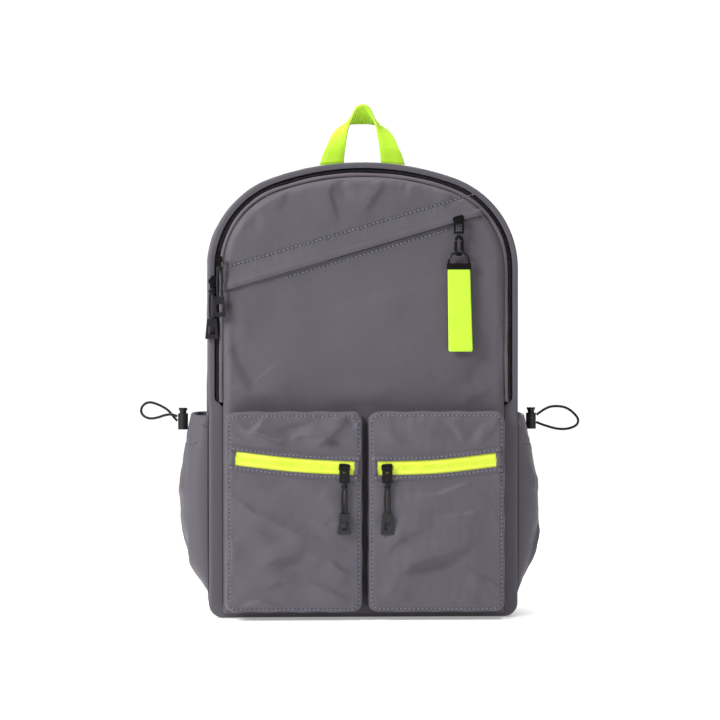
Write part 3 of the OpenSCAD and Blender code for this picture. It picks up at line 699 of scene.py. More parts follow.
def panel_y(x, z):
    """The front panel's face: it rises from its piped edge and swells a little in the middle."""
    x, z = np.asarray(x, float), np.asarray(z, float)
    gap = np.maximum(np.minimum(edge_gap(x, z, PANEL_INSET), z - PANEL_FOOT_Z), 0)
    y = PANEL_EDGE_Y + (FRONT_Y - PANEL_EDGE_Y) * round_rise(gap, 9 * MM)
    below = (fold_z(x) - z) * SEAM_TURN[0]
    track = np.maximum(np.maximum(-1.5 * MM - below, below - 42 * MM), 0)
    off_track = 1 - 0.9 * np.exp(-(track / (9 * MM)) ** 2) * smoothstep((x + 75 * MM) / (40 * MM))
    belly = smoothstep(gap / (75 * MM)) * 1.0 * MM * off_track
    upper = smoothstep((z - (BEND_Z - 40 * MM)) / (60 * MM))
    y = y - belly * upper
    cloth = 1.5 * creases(x, z, PANEL_FOLDS) + 0.4 * MM * ripple(x, z, 48 * MM, 3)
    cloth = cloth + 0.12 * MM * ripple(x, z, 15 * MM, 8)
    near_edge = np.exp(-gap / (9 * MM))
    cloth = cloth + 0.35 * MM * near_edge * ripple(x, z, 9 * MM, 21)
    return y - cloth * smoothstep(gap / (5 * MM)) * upper * off_track


def add_front_panel():
    x, z = column_grid(PANEL_X, PANEL_FOOT_Z, PANEL_INSET, 190, 300)
    y = panel_y(x, z)
    panel = sheet_object("front_panel", x, y, z, 2.0 * MM)
    place(panel, None, SHELL, ["upper_front_panel", "lower_front_panel"])
    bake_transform(panel)


def flap_y(x, z):
    """The diagonal flap's face: it lies on the panel and stands off it toward the fold."""
    down = (fold_z(x) - z) * SEAM_TURN[0]
    stand = 0.5 * MM + 2.7 * MM * smoothstep(1 + down / (20 * MM))
    pinch = 0.75 * MM * np.exp(-((down + STITCH_UP) / (1.6 * MM)) ** 2)
    pucker = 0.32 * MM * np.exp(-((down + STITCH_UP) / (6 * MM)) ** 2) * ripple(x, down * 0.25, 8 * MM, 31)
    lip = 0.5 * MM * np.exp(-((down + 3 * MM) / (2.5 * MM)) ** 2)
    wobble = 0.45 * MM * np.exp(down / (10 * MM)) * ripple(x, z * 0.2, 38 * MM, 12)
    return panel_y(x, z) - stand - lip - pucker - wobble + pinch


def add_diagonal_flap():
    across, up = 180, 110
    x_end = 138 * MM
    xs = np.linspace(-PANEL_X + 0.2 * MM, x_end - 0.2 * MM, across)
    top = arch_top(xs, PANEL_INSET + 0.6 * MM)
    keep = top > fold_z(xs) + 0.5 * MM
    xs, top = xs[keep], top[keep]
    t = np.linspace(0, 1, up)
    x = np.repeat(xs[:, None], up, 1)
    z = fold_z(xs)[:, None] + (top - fold_z(xs))[:, None] * t[None, :]
    y = flap_y(x, z)
    # the cloth rolls under at the fold
    rolled = []
    for drop, back in ((6, 2.6), (3, 2.4), (0.6, 2.1), (-0.5, 1.4), (-0.7, 0.6)):
        rolled.append((x[:, :1], y[:, :1] + back * MM, z[:, :1] + drop * MM))
    x, y, z = beside(*rolled, (x, y, z))
    piece = sheet_object("diagonal_flap", x, y, z, 0.7 * MM)
    return place(piece, "flap", SHELL, ["diagonal_flap"])


add_front_panel()
add_diagonal_flap()


# ---------------------------------------------------------------- zip round the front, and its piping

ZIP_FOOT_Z = low("main_zip_rear_tape").z
TOOTH_Y = RIM_Y + 1.2 * MM


def arch_strip(name, near, far, y_front, thick, body, material, replaces, foot_z=ZIP_FOOT_Z):
    """A flat strip over the arch, from inset near to inset far."""
    middle, normals = arch_points((near + far) / 2, foot_z, 3 * MM)
    front = [Vector((0, -1, 0))] * len(middle)
    centred = [Vector((p.x, y_front + thick / 2, p.z)) for p in middle]
    piece = join_meshes(name, [ribbon_mesh(centred, normals, front, far - near, thick)])
    return place(piece, body, material, replaces)


CUT_CORNERS = ((-1, -0.5), (-0.5, -1), (0.5, -1), (1, -0.5), (1, 0.5), (0.5, 1), (-0.5, 1), (-1, 0.5))


def box_mesh(centre, axes, half):
    """A small block with its long edges cut: axes are three unit vectors, half three half sizes."""
    verts = []
    for sx in (-1, 1):
        for corner in CUT_CORNERS:
            spot = (sx, *corner)
            verts.append(centre + sum((axes[k] * (spot[k] * half[k]) for k in range(3)), Vector()))
    faces = [tuple(range(7, -1, -1)), tuple(range(8, 16))]
    faces += [(k, (k + 1) % 8, 8 + (k + 1) % 8, 8 + k) for k in range(8)]
    return verts, faces


def arch_teeth(name, near, far, body):
    points, normals = arch_points((near + far) / 2, ZIP_FOOT_Z + 1 * MM, 1.9 * MM)
    parts = []
    for p, n in zip(points, normals):
        along = Vector((-n.z, 0, n.x))
        parts.append(box_mesh(Vector((p.x, TOOTH_Y, p.z)), (n, Vector((0, 1, 0)), along),
                              ((far - near) / 2, 1.1 * MM, 0.62 * MM)))
    piece = join_meshes(name, parts)
    piece.data.shade_flat()
    return place(piece, body, ZIP_TEETH)


def add_main_zip():
    arch_strip("main_zip_rear", 2.5 * MM, 9.8 * MM, TAPE_Y, 1.2 * MM, "bag", ZIP_TAPE,
               ["main_zip_rear_tape"])
    arch_strip("main_zip_front", 10.2 * MM, 16.5 * MM, TAPE_Y, 1.2 * MM, "flap", ZIP_TAPE,
               ["main_zip_front_tape"])
    arch_teeth("main_teeth_rear", 7.6 * MM, 9.9 * MM, "bag")
    arch_teeth("main_teeth_front", 10.1 * MM, 12.4 * MM, "flap")


def add_piping():
    """The bound seam between the front panel and its zip: an oval roll that wavers a little."""
    points, normals = arch_points(PANEL_INSET - 1.7 * MM, ZIP_FOOT_Z + 1 * MM, 2.5 * MM)
    sides, verts = 14, []
    for i, (p, n) in enumerate(zip(points, normals)):
        waver = 0.35 * MM * math.sin(i * 0.13) * math.sin(i * 0.051 + 1)
        wide = 2.0 * MM * (1 + 0.07 * math.sin(i * 0.37))
        centre = Vector((p.x, PANEL_EDGE_Y - 1.3 * MM, p.z)) + n * waver
        for k in range(sides):
            a = 2 * math.pi * k / sides
            verts.append(centre + n * (wide * math.cos(a)) + FORWARD * (1.5 * MM * math.sin(a)))
    last = len(points) - 1
    faces = ring_faces(last + 1, sides)
    faces += [tuple(range(sides)), tuple(last * sides + k for k in range(sides))]
    piece = add_mesh("panel_piping", verts, faces)
    thicken(piece, 0)
    return place(piece, "flap", PIPING, ["panel_piping"])


add_main_zip()
add_piping()


# ---------------------------------------------------------------- gusset, base and back

def outline_loop(step):
    """Points and outward normals (x, z) once round the bag's outline, from the middle of the base."""
    arch, arch_n = arch_points(0, FOOT_R, step)
    loop = []
    count = 8
    for sign in (-1, 1):
        corner = []
        for k in range(count):
            a = math.pi / 2 * (k + 0.5) / count
            n = Vector((sign * math.sin(a), 0, -math.cos(a)))
            corner.append((Vector((sign * (HALF_W - FOOT_R), 0, FOOT_R)) + n * FOOT_R, n))
        loop.append(corner)
    flat = np.linspace(0, HALF_W - FOOT_R, round((HALF_W - FOOT_R) / step))
    down = Vector((0, 0, -1))
    left = [(Vector((-x, 0, 0)), down) for x in flat]
    right = [(Vector((x, 0, 0)), down) for x in reversed(flat)][:-1]
    return left + loop[0] + list(zip(arch, arch_n)) + list(reversed(loop[1])) + right


def add_gusset():
    """The cloth wall round the bag, with the rim that carries the zip turned in at its front."""
    loop = outline_loop(3 * MM)
    back = BACK_Y - 3.5 * MM
    depths = np.linspace(RIM_Y + 6 * MM, back - 6 * MM, 26)
    nu = len(loop)
    verts = []
    for p, n in loop:
        rim = PANEL_INSET - 8.3 * MM * float(smoothstep(np.array((p.z - 208 * MM) / (8 * MM))))
        section = [(rim, RIM_Y + 2.2 * MM), (rim, RIM_Y + 0.5 * MM)]
        for share in (0.97, 0.9, 0.75, 0.6, 0.45, 0.3, 0.2):
            section.append((rim * share, RIM_Y - 0.25 * MM * math.sin(math.pi * share)))
        section += [(0.7 * MM, RIM_Y + 0.4 * MM), (0.15 * MM, RIM_Y + 2 * MM)]
        wall = [(0, y) for y in depths]
        section += wall + [(0.1 * MM, back - 2 * MM), (0.8 * MM, back), (2.2 * MM, back + 0.8 * MM)]
        for inset, y in section:
            verts.append((p.x - n.x * inset, y, p.z - n.z * inset))
    nv = len(verts) // nu
    grid = np.array(verts).reshape(nu, nv, 3)
    turn = np.cumsum([0] + [(loop[i + 1][0] - loop[i][0]).length for i in range(nu - 1)])[:, None]
    depth = grid[:, :, 1]
    height = grid[:, :, 2]
    ease = smoothstep((depth - RIM_Y - 3 * MM) / (14 * MM)) * smoothstep((back - depth) / (14 * MM))
    on_side = smoothstep((height - 12 * MM) / (30 * MM))
    swell = 0.5 * MM * ripple(np.broadcast_to(turn, depth.shape), depth, 60 * MM, 5)
    swell += 0.22 * MM * ripple(np.broadcast_to(turn, depth.shape), depth, 18 * MM, 9)
    swell = swell * ease * on_side
    normals = np.array([[n.x, n.z] for _, n in loop])
    grid[:, :, 0] += normals[:, 0:1] * swell
    grid[:, :, 2] += normals[:, 1:2] * swell
    piece = add_mesh("gusset", grid.reshape(-1, 3), grid_faces(nu, nv, wrap_u=True))
    thicken(piece, 1.6 * MM)
    return place(piece, "bag", SHELL, ["gusset", "base_panel"])


def add_back_panel():
    inset = 1.4 * MM
    x, z = column_grid(HALF_W - inset, 1.5 * MM, inset, 120, 190)
    gap = np.minimum(edge_gap(x, z, inset), z - 1.5 * MM)
    y = BACK_Y - 3.2 * MM + 3.2 * MM * round_rise(gap, 4 * MM)
    y = y + 0.3 * MM * ripple(x, z, 50 * MM, 17) * smoothstep(gap / (10 * MM))
    piece = sheet_object("back_panel", x, y, z, 2.2 * MM, BACKWARD)
    return place(piece, "bag", SHELL, ["back_panel"])


add_gusset()
add_back_panel()


# ---------------------------------------------------------------- stitches

STITCH_LEN = 2.5 * MM
STITCH_PITCH = 3.8 * MM


def stitch_mesh(a, b, out, half_w=0.42 * MM, half_h=0.34 * MM):
    """One stitch from a to b: a six-sided spindle that stands a little off the cloth."""
    along = (b - a).normalized()
    side = along.cross(out).normalized()
    up = side.cross(along)
    verts = [a - up * half_h]
    for share, size in ((0.1, 0.75), (0.5, 1.0), (0.9, 0.75)):
        p = a.lerp(b, share) + up * (half_h * 0.35)
        for k in range(6):
            angle = math.pi * k / 3
            verts.append(p + (side * (math.cos(angle) * half_w) + up * (math.sin(angle) * half_h)) * size)
    verts.append(b - up * half_h)
    faces = [(0, 1 + (k + 1) % 6, 1 + k) for k in range(6)]
    for ring in range(2):
        base = 1 + ring * 6
        faces += [(base + k, base + (k + 1) % 6, base + 6 + (k + 1) % 6, base + 6 + k) for k in range(6)]
    faces += [(19, 13 + k, 13 + (k + 1) % 6) for k in range(6)]
    return verts, faces


def stitch_parts(points, normals, lift):
    """Stitches along a line of close points on the cloth, and dark strips between them: painted shade where
    the thread sinks into each needle hole.
    """
    parts, hole_shades, done, start = [], [], 0.0, 0
    for i in range(1, len(points)):
        done += (points[i] - points[i - 1]).length
        if start is not None and done >= STITCH_LEN:
            up = normals[i] * lift
            parts.append(stitch_mesh(points[start] + up, points[i] + up, normals[i]))
            end, start = i, None
        if done >= STITCH_PITCH:
            up = normals[i] * (lift - 0.1 * MM)
            hole_shades.append(stitch_mesh(points[end] + up, points[i] + up, normals[i], 0.5 * MM, 0.16 * MM))
            start, done = i, 0.0
    return parts, hole_shades


def face_line(flat, height, step=0.6 * MM):
    """A line of (x, z) points laid on the face y = height(x, z), and the face's normals there."""
    line = even_line([Vector((p[0], 0, p[1])) for p in flat], step)
    x = np.array([p.x for p in line])
    z = np.array([p.z for p in line])
    e = 0.5 * MM
    y = height(x, z)
    slope_x = (height(x + e, z) - height(x - e, z)) / (2 * e)
    slope_z = (height(x, z + e) - height(x, z - e)) / (2 * e)
    points = [Vector(p) for p in zip(x, y, z)]
    normals = [Vector((a, -1, b)).normalized() for a, b in zip(slope_x, slope_z)]
    return points, normals


def sew(name, rows, body, lift=0.25 * MM, thread=None):
    """A mesh of stitches along rows of (points, normals), and one of the dark strips between them, painted
    shade at each needle hole.
    """
    parts, hole_shades = [], []
    for points, normals in rows:
        more, gap_shades = stitch_parts(points, normals, lift)
        parts += more
        hole_shades += gap_shades
    place(join_meshes(name, parts), body, thread or THREAD)
    # the dark strips between the stitches are painted shade
    place(join_meshes(name + "_hole_shades", hole_shades), body, NEEDLE_HOLE_SHADE)


def along_fold(start_x, end_x, above):
    """The two ends (x, z) of a line beside the fold, that much above it."""
    return [(x, fold_z(x) + above) for x in (start_x, end_x)]


sew("flap_stitches",
    [face_line(along_fold(-133 * MM, 112 * MM, STITCH_UP / SEAM_TURN[0]), flap_y)], "flap", 0.85 * MM)
sew("under_stitches",
    [face_line(along_fold(-78 * MM, 84 * MM, -5.5 * MM), panel_y)], "flap", 0.3 * MM)


# ---------------------------------------------------------------- front pockets

POCKET_IN = -high("front_pocket_left").x
POCKET_OUT = -low("front_pocket_left").x
POCKET_LOW = low("front_pocket_left").z
POCKET_TOP = high("front_pocket_left").z
POCKET_R = 10 * MM
POCKET_BACK = high("front_pocket_left").y
POCKET_X = (POCKET_IN + POCKET_OUT) / 2
POCKET_Z = (POCKET_LOW + POCKET_TOP) / 2
ZIP_RISE = {-1: math.radians(5), 1: math.radians(4)}
ZIP_START = Vector((9, 149)) * MM
ZIP_LEN = 122 * MM
ZIP_SAG = {-1: 1.6 * MM, 1: 2.4 * MM}
POCKET_FOLDS = {
    -1: [([(-134, 199), (-116, 185), (-88, 175), (-70, 171)], 2.6, 3.5, 8),
         ([(-134, 190), (-112, 178), (-96, 174)], -1.6, 5, 5),
         ([(-92, 185), (-70, 189), (-50, 192)], -1.9, 4, 8),
         ([(-56, 168), (-36, 180), (-16, 199)], 2.2, 7, 4),
         ([(-46, 188), (-30, 176), (-14, 172)], -1.2, 7, 6),
         ([(-18, 202), (-14, 195), (-7, 190)], -1.6, 3, 4),
         ([(-118, 109), (-96, 99), (-67, 86), (-34, 76)], 2.6, 4, 11),
         ([(-116, 97), (-90, 86), (-60, 76)], -1.5, 7, 7),
         ([(-108, 52), (-87, 62), (-52, 71)], 2.2, 9, 4),
         ([(-96, 47), (-70, 58), (-46, 62)], -1.2, 6, 6),
         ([(-62, 37), (-34, 27), (-10, 16)], 2.2, 4, 9),
         ([(-133, 86), (-127, 54)], 1.3, 7, 6),
         ([(-126, 13), (-104, 17), (-80, 13)], 1.8, 4, 5),
         ([(-46, 130), (-30, 112), (-14, 104)], 1.1, 9, 9),
         ([(-122, 138), (-90, 133), (-60, 136)], -0.8, 8, 8),
         ([(-132, 122), (-108, 104), (-84, 96)], 1.5, 4, 8),
         ([(-104, 30), (-84, 40), (-62, 38)], 1.4, 6, 3),
         ([(-60, 100), (-36, 92), (-12, 96)], 1.2, 4, 7),
         ([(-40, 60), (-24, 48), (-10, 44)], 1.4, 4, 8),
         ([(-120, 176), (-104, 190), (-96, 202)], 1.4, 4, 7),
         ([(-76, 176), (-62, 182), (-44, 178)], 1.3, 6, 3)],
    1: [([(133, 204), (120, 182), (106, 169)], 2.6, 4, 8),
        ([(124, 204), (108, 184), (98, 172)], -1.4, 6, 6),
        ([(30, 196), (56, 186), (84, 184)], 1.3, 10, 10),
        ([(14, 198), (24, 182), (40, 172)], 1.2, 7, 7),
        ([(30, 122), (71, 122), (116, 140)], 1.6, 4, 9),
        ([(36, 112), (72, 110), (104, 120)], -0.9, 8, 8),
        ([(20, 36), (51, 59), (83, 67), (103, 76), (126, 86)], 2.8, 10, 3.5),
        ([(28, 44), (69, 52), (110, 61)], -1.8, 6, 5),
        ([(98, 46), (118, 40), (136, 27)], 2.4, 3.5, 8),
        ([(106, 32), (122, 28), (134, 20)], -1.5, 5, 6),
        ([(10, 92), (24, 84), (44, 86)], 1.1, 8, 8),
        ([(60, 16), (90, 20), (120, 14)], 1.3, 6, 5),
        ([(12, 60), (36, 84), (70, 94)], 1.5, 8, 4),
        ([(64, 104), (96, 102), (130, 112)], 1.5, 4, 8),
        ([(10, 30), (30, 22), (52, 24)], 1.3, 6, 4),
        ([(110, 128), (122, 112), (128, 92)], 1.2, 5, 7),
        ([(76, 200), (90, 188), (98, 174)], 1.2, 7, 4)],
}


def zip_point(side, u, v):
    """The place (x, z) u along a pocket's zip from its inner end and v above its middle line."""
    rise = ZIP_RISE[side]
    share = np.clip(u / ZIP_LEN, 0, 1)
    v = v - ZIP_SAG[side] * np.sin(math.pi * share) ** 1.3
    x = ZIP_START.x + u * math.cos(rise) - v * math.sin(rise)
    z = ZIP_START.y + u * math.sin(rise) + v * math.cos(rise)
    return side * x, z


def pocket_gap(side, x, z):
    """How far inside its rounded outline a point of a front pocket lies."""
    dx = (POCKET_OUT - POCKET_IN) / 2 - np.abs(x - side * POCKET_X)
    dz = (POCKET_TOP - POCKET_LOW) / 2 - np.abs(z - POCKET_Z)
    corner = POCKET_R - np.hypot(POCKET_R - np.minimum(dx, POCKET_R), POCKET_R - np.minimum(dz, POCKET_R))
    return np.where((dx < POCKET_R) & (dz < POCKET_R), corner, np.minimum(dx, dz))


def pocket_y(side):
    """The face of one front pocket as a function of x and z."""
    def face(x, z):
        x, z = np.asarray(x, float), np.asarray(z, float)
        gap = pocket_gap(side, x, z)
        y = POCKET_Y + 2.6 * MM * (1 - round_rise(gap, 6 * MM))
        cloth = 1.75 * creases(x, z, POCKET_FOLDS[side]) + 0.6 * MM * ripple(x, z, 40 * MM, 40 + side)
        cloth = cloth + 0.16 * MM * ripple(x, z, 11 * MM, 50 + side)
        seam = 3.4 * MM
        pinch = -0.55 * MM * np.exp(-((gap - seam) / (1.1 * MM)) ** 2)
        pucker = 0.45 * MM * np.exp(-np.abs(gap - seam) / (4 * MM)) * ripple(x, z, 8 * MM, 60 + side)
        if side > 0:
            hang = np.exp(-((x - 121 * MM) / (11 * MM)) ** 2)
            cloth = cloth * (1 - 0.75 * hang)
        turned = (np.abs(x) - ZIP_START.x) / math.cos(ZIP_RISE[side])
        centre_z = zip_point(side, turned, np.zeros_like(turned))[1]
        off = np.abs(z - centre_z)
        calm = smoothstep((off - 7 * MM) / (12 * MM)) * 0.85 + 0.15
        well = -0.5 * MM * np.exp(-((off - 11.5 * MM) / (1.1 * MM)) ** 2)
        y = y - 2.8 * MM * smoothstep(gap / (40 * MM)) * smoothstep((off - 7 * MM) / (28 * MM))
        return y - cloth * smoothstep(gap / (7 * MM)) * calm - pinch - pucker - well
    return face


def rounded_ring(side, inset, count):
    """Points (x, z) once round a front pocket's outline, that much inside it."""
    half = ((POCKET_OUT - POCKET_IN) / 2 - inset, (POCKET_TOP - POCKET_LOW) / 2 - inset)
    return rounded_box((side * POCKET_X, POCKET_Z), half, max(POCKET_R - inset, 0.5 * MM), count)


def add_front_pocket(side, name):
    face = pocket_y(side)
    count, rings = 420, 96
    verts = []
    outline = rounded_ring(side, 0, count)
    centre = Vector((side * POCKET_X, 0, POCKET_Z))
    wall = ((1.4, 0.2), (0.4, 2.5), (-0.1, 6), (-0.3, 11), (-0.3, 16), (0, 20), (0.2, 22.5), (0.5, 24.0))
    for inset, rise in wall:
        for p in outline:
            q = p + (centre - p).normalized() * (inset * MM)
            sag = 0.5 * MM * math.sin(p.x * 190 + p.z * 140) * math.sin(math.pi * rise / 26)
            verts.append((q.x - (centre - p).normalized().x * sag, POCKET_BACK - rise * MM,
                          q.z - (centre - p).normalized().z * sag))
    start = np.array([(p.x, p.z) for p in rounded_ring(side, 0.9 * MM, count)])
    middle = np.array([side * POCKET_X, POCKET_Z])
    shrink = 1 - np.concatenate([np.linspace(0, 0.06, 8)[:-1], np.linspace(0.06, 1, rings - 7)[:-1]])
    for k in shrink:
        ring = middle + (start - middle) * k
        y = face(ring[:, 0], ring[:, 1])
        verts.extend(zip(ring[:, 0], y, ring[:, 1]))
    loops = len(wall) + len(shrink)
    faces = grid_faces(loops, count, wrap_v=True)
    verts.append((middle[0], float(face(middle[0], middle[1])), middle[1]))
    last = (loops - 1) * count
    faces += [(last + j, len(verts) - 1, last + (j + 1) % count) for j in range(count)]
    piece = add_mesh(name, verts, faces)
    thicken(piece, 1.6 * MM, FORWARD)
    place(piece, "bag", SHELL, ["front_pocket_" + ("left" if side < 0 else "right")])
    return face


def zip_sheet(name, side, face, across, offsets, u_from, u_to, material, replaces=(), body="bag"):
    """A strip along a pocket's zip: across holds the places above the middle line, offsets how far each
    stands off the face."""
    us = np.linspace(u_from, u_to, 90)
    u = np.repeat(us[:, None], len(across), 1)
    v = np.repeat(np.array(across)[None, :] * MM, len(us), 0)
    x, z = zip_point(side, u, v)
    y = face(x, z) - np.array(offsets)[None, :] * MM
    piece = sheet_object(name, x, y, z, 0.5 * MM)
    return place(piece, body, material, replaces)


def add_pocket_zip(side, tag, face):
    inner, outer = -3.0 * MM, ZIP_LEN + 3.5 * MM
    tape = (-8.2, -4, -1.4, 1.4, 4, 8.2)
    zip_sheet("pocket_zip_tape_" + tag, side, face, tape, (0.45,) * len(tape), 1 * MM, ZIP_LEN,
              LIME_TAPE, ["pocket_zip_" + tag])
    parts = []
    for row in (-1, 1):
        us = np.arange(2 * MM, ZIP_LEN - 1 * MM, 1.7 * MM)
        x, z = zip_point(side, us, np.full_like(us, row * 1.0 * MM))
        y = face(x, z)
        along = Vector((side * math.cos(ZIP_RISE[side]), 0, math.sin(ZIP_RISE[side])))
        up = Vector((-side * math.sin(ZIP_RISE[side]), 0, math.cos(ZIP_RISE[side])))
        for a, b, c in zip(x, y, z):
            parts.append(box_mesh(Vector((a, b - 0.6 * MM, c)), (up, Vector((0, 1, 0)), along),
                                  (1.05 * MM, 0.55 * MM, 0.58 * MM)))
    teeth = join_meshes("pocket_teeth_" + tag, parts)
    teeth.data.shade_flat()
    place(teeth, "bag", LIME_TEETH)
    for sign, word in ((1, "upper"), (-1, "lower")):
        across = [sign * v for v in (7.3, 6.9, 7.1, 7.8, 9.2, 10.8, 12.0, 12.6)]
        offsets = (0.5, 1.0, 1.6, 1.75, 1.5, 1.0, 0.3, -0.4)
        zip_sheet(f"pocket_welt_{word}_{tag}", side, face, across, offsets, inner, outer,
                  SHELL)
    ends = []
    for u0, u1 in ((-3.4 * MM, 2.6 * MM), (ZIP_LEN - 3 * MM, ZIP_LEN + 4 * MM)):
        us = np.linspace(u0, u1, 8)
        vs = np.linspace(-7.2, 7.2, 14) * MM
        u, v = np.repeat(us[:, None], 14, 1), np.repeat(vs[None, :], 8, 0)
        x, z = zip_point(side, u, v)
        edge = np.minimum(np.minimum(u - u0, u1 - u), 7.2 * MM - np.abs(v))
        y = face(x, z) - 0.4 * MM - 2.0 * MM * smoothstep(edge / (1.2 * MM))
        order = grid_faces(8, 14)
        if side < 0:
            order = [tuple(reversed(f)) for f in order]
        ends.append(([Vector(p) for p in np.stack([x, y, z], -1).reshape(-1, 3)], order))
    place(join_meshes("pocket_zip_ends_" + tag, ends), "bag", SHELL)


def inset_line(side, inset):
    """A closed line of (x, z) points round a front pocket, that much inside its outline."""
    ring = rounded_ring(side, inset, 240)
    return [(p.x, p.z) for p in ring + ring[:1]]


for pocket_side, tag in ((-1, "left"), (1, "right")):
    pocket_face = add_front_pocket(pocket_side, "front_pocket_" + tag)
    add_pocket_zip(pocket_side, tag, pocket_face)
    rows = [face_line(inset_line(pocket_side, 3.6 * MM), pocket_face)]
    for level in (9.3 * MM, -9.3 * MM):
        us = np.linspace(-1 * MM, ZIP_LEN + 1 * MM, 60)
        xs, zs = zip_point(pocket_side, us, np.full_like(us, level))
        points, normals = face_line(list(zip(xs, zs)), pocket_face)
        rows.append(([p + n * (1.45 * MM) for p, n in zip(points, normals)], normals))
    sew("pocket_stitches_" + tag, rows, "bag")


# ---------------------------------------------------------------- side pockets

SIDE_Y0 = low("side_pocket_left").y
SIDE_Y1 = high("side_pocket_left").y
SIDE_MID = (SIDE_Y0 + SIDE_Y1) / 2
SIDE_HALF = (SIDE_Y1 - SIDE_Y0) / 2
SIDE_GAPE = {-1: 16 * MM, 1: 8 * MM}
SIDE_BULGE = 20 * MM
SIDE_FOLDS = {
    -1: [([(-37, 84), (-33, 60), (-10, 34)], 3.2, 4, 11),
         ([(-28, 84), (-22, 64), (0, 46)], -2.0, 7, 7),
         ([(-44, 120), (-20, 128), (16, 122)], 1.2, 8, 8),
         ([(10, 150), (30, 120), (34, 84)], 1.4, 8, 8),
         ([(44, 70), (30, 50), (10, 40)], 1.6, 6, 8),
         ([(-44, 160), (-38, 140), (-41, 116)], 1.0, 5, 6)],
    1: [([(-12, 100), (-31, 67), (-38, 38)], 3.0, 10, 4),
        ([(-4, 84), (-20, 58), (-26, 40)], -1.8, 7, 7),
        ([(-44, 122), (-20, 132), (16, 126)], 1.2, 8, 8),
        ([(8, 148), (28, 118), (36, 82)], 1.4, 8, 8),
        ([(44, 66), (30, 48), (8, 38)], 1.6, 6, 8),
        ([(-42, 156), (-37, 138), (-40, 118)], 1.0, 5, 6)],
}


def side_bulge(side, z):
    t = np.clip((z - SIDE_FOOT_Z) / (SIDE_TOP_Z - SIDE_FOOT_Z), 0, 1)
    return SIDE_GAPE[side] * t + SIDE_BULGE * np.sin(math.pi * t ** 0.8)


def side_plan(y):
    """Share of the bulge at y: full in the middle and none at the two side seams."""
    q = np.clip(np.abs(y - SIDE_MID) / SIDE_HALF, 0, 1)
    return (1 - q ** 2.7) ** (1 / 2.7)


def side_x(side, y, z, stand=0.0):
    bulge = side_bulge(side, z) * side_plan(y)
    ease = smoothstep((z - SIDE_FOOT_Z) / (14 * MM)) * smoothstep(side_plan(y) / 0.6)
    cloth = 1.4 * creases(y, z, SIDE_FOLDS[side]) + 0.7 * MM * ripple(y, z, 36 * MM, 70 + side)
    cloth = cloth + 0.2 * MM * ripple(y, z, 12 * MM, 80 + side)
    hem = smoothstep((z - HEM_Z - 2 * MM) / (5 * MM))
    gather = 0.75 * MM * ripple(y, z * 0.12, 7.5 * MM, 90 + side, 5)
    below = np.exp(-np.abs(z - HEM_Z) / (16 * MM)) * (1 - hem)
    pinch = -0.9 * MM * np.exp(-((z - HEM_Z) / (1.4 * MM)) ** 2)
    cloth = cloth * (1 - hem) + gather * (hem + 0.8 * below) + pinch
    return side * (HALF_W + 0.3 * MM + bulge + cloth * ease + stand)


def add_side_pocket(side, tag):
    turns = np.linspace(-1, 1, 150)
    ys = SIDE_MID + SIDE_HALF * np.sin(turns * math.pi / 2)
    zs = np.concatenate([np.linspace(SIDE_FOOT_Z, HEM_Z - 3 * MM, 90),
                         np.linspace(HEM_Z - 2.5 * MM, HEM_Z + 2.5 * MM, 12),
                         np.linspace(HEM_Z + 3 * MM, SIDE_TOP_Z - 1.2 * MM, 26)])
    y, z = np.repeat(ys[:, None], len(zs), 1), np.repeat(zs[None, :], len(ys), 0)
    x = side_x(side, y, z)
    # the hem rolls in at the mouth
    tops = []
    for rise, back in ((0.9, 0.5), (1.2, 1.4), (0.9, 2.4), (-1.5, 2.8), (-10, 2.7)):
        tops.append((x[:, -1:] - side * back * MM * side_plan(y[:, -1:]), y[:, -1:], z[:, -1:] + rise * MM))
    x, y, z = beside((x, y, z), *tops)
    piece = sheet_object("side_pocket_" + tag, x, y, z, 1.0 * MM, Vector((side, 0, 0)))
    place(piece, "bag", SHELL, ["side_pocket_" + tag, "pocket_hem_" + tag])
    level = HEM_Z + 0.4 * MM
    ys = np.linspace(SIDE_Y0 + 1.5 * MM, SIDE_Y1 - 1.5 * MM, 360)
    xs = side_x(side, ys, np.full_like(ys, level)) + side * 0.2 * MM
    points = [Vector((a, b, level)) for a, b in zip(xs, ys)]
    normals = []
    for i in range(len(points)):
        d = points[min(i + 1, len(points) - 1)] - points[max(i - 1, 0)]
        n = d.cross(Vector((0, 0, 1))).normalized()
        normals.append(n if n.x * side > 0 else -n)
    sew("side_stitches_" + tag, [(points, normals)], "bag")


for pocket_side, tag in ((-1, "left"), (1, "right")):
    add_side_pocket(pocket_side, tag)


# ---------------------------------------------------------------- haul handle

HANDLE_H = 57 * MM
FOOT_IN = 18.5 * MM
FOOT_OUT = high("haul_handle").x
HANDLE_PLANE = -25 * MM
HANDLE_T = 2.0 * MM
HANDLE_STEPS = 96
# one half of the loop, from foot to top: for its inner and its outer edge, the share of the foot's x,
# how far the edge leans forward in millimetres, and the share of the height
HANDLE_HALF = [((1, 0, -0.02), (1, 0, -0.05)), ((0.95, 0.5, 0.16), (0.93, 0, 0.12)),
               ((0.88, 1, 0.33), (0.84, 0, 0.27)), ((0.76, 2, 0.58), (0.71, -3, 0.47)),
               ((0.58, 5, 0.79), (0.5, -11, 0.62)),
               ((0.33, 8, 0.955), (0.25, -16, 0.67)), ((0, 9, 1), (0, -18, 0.68))]


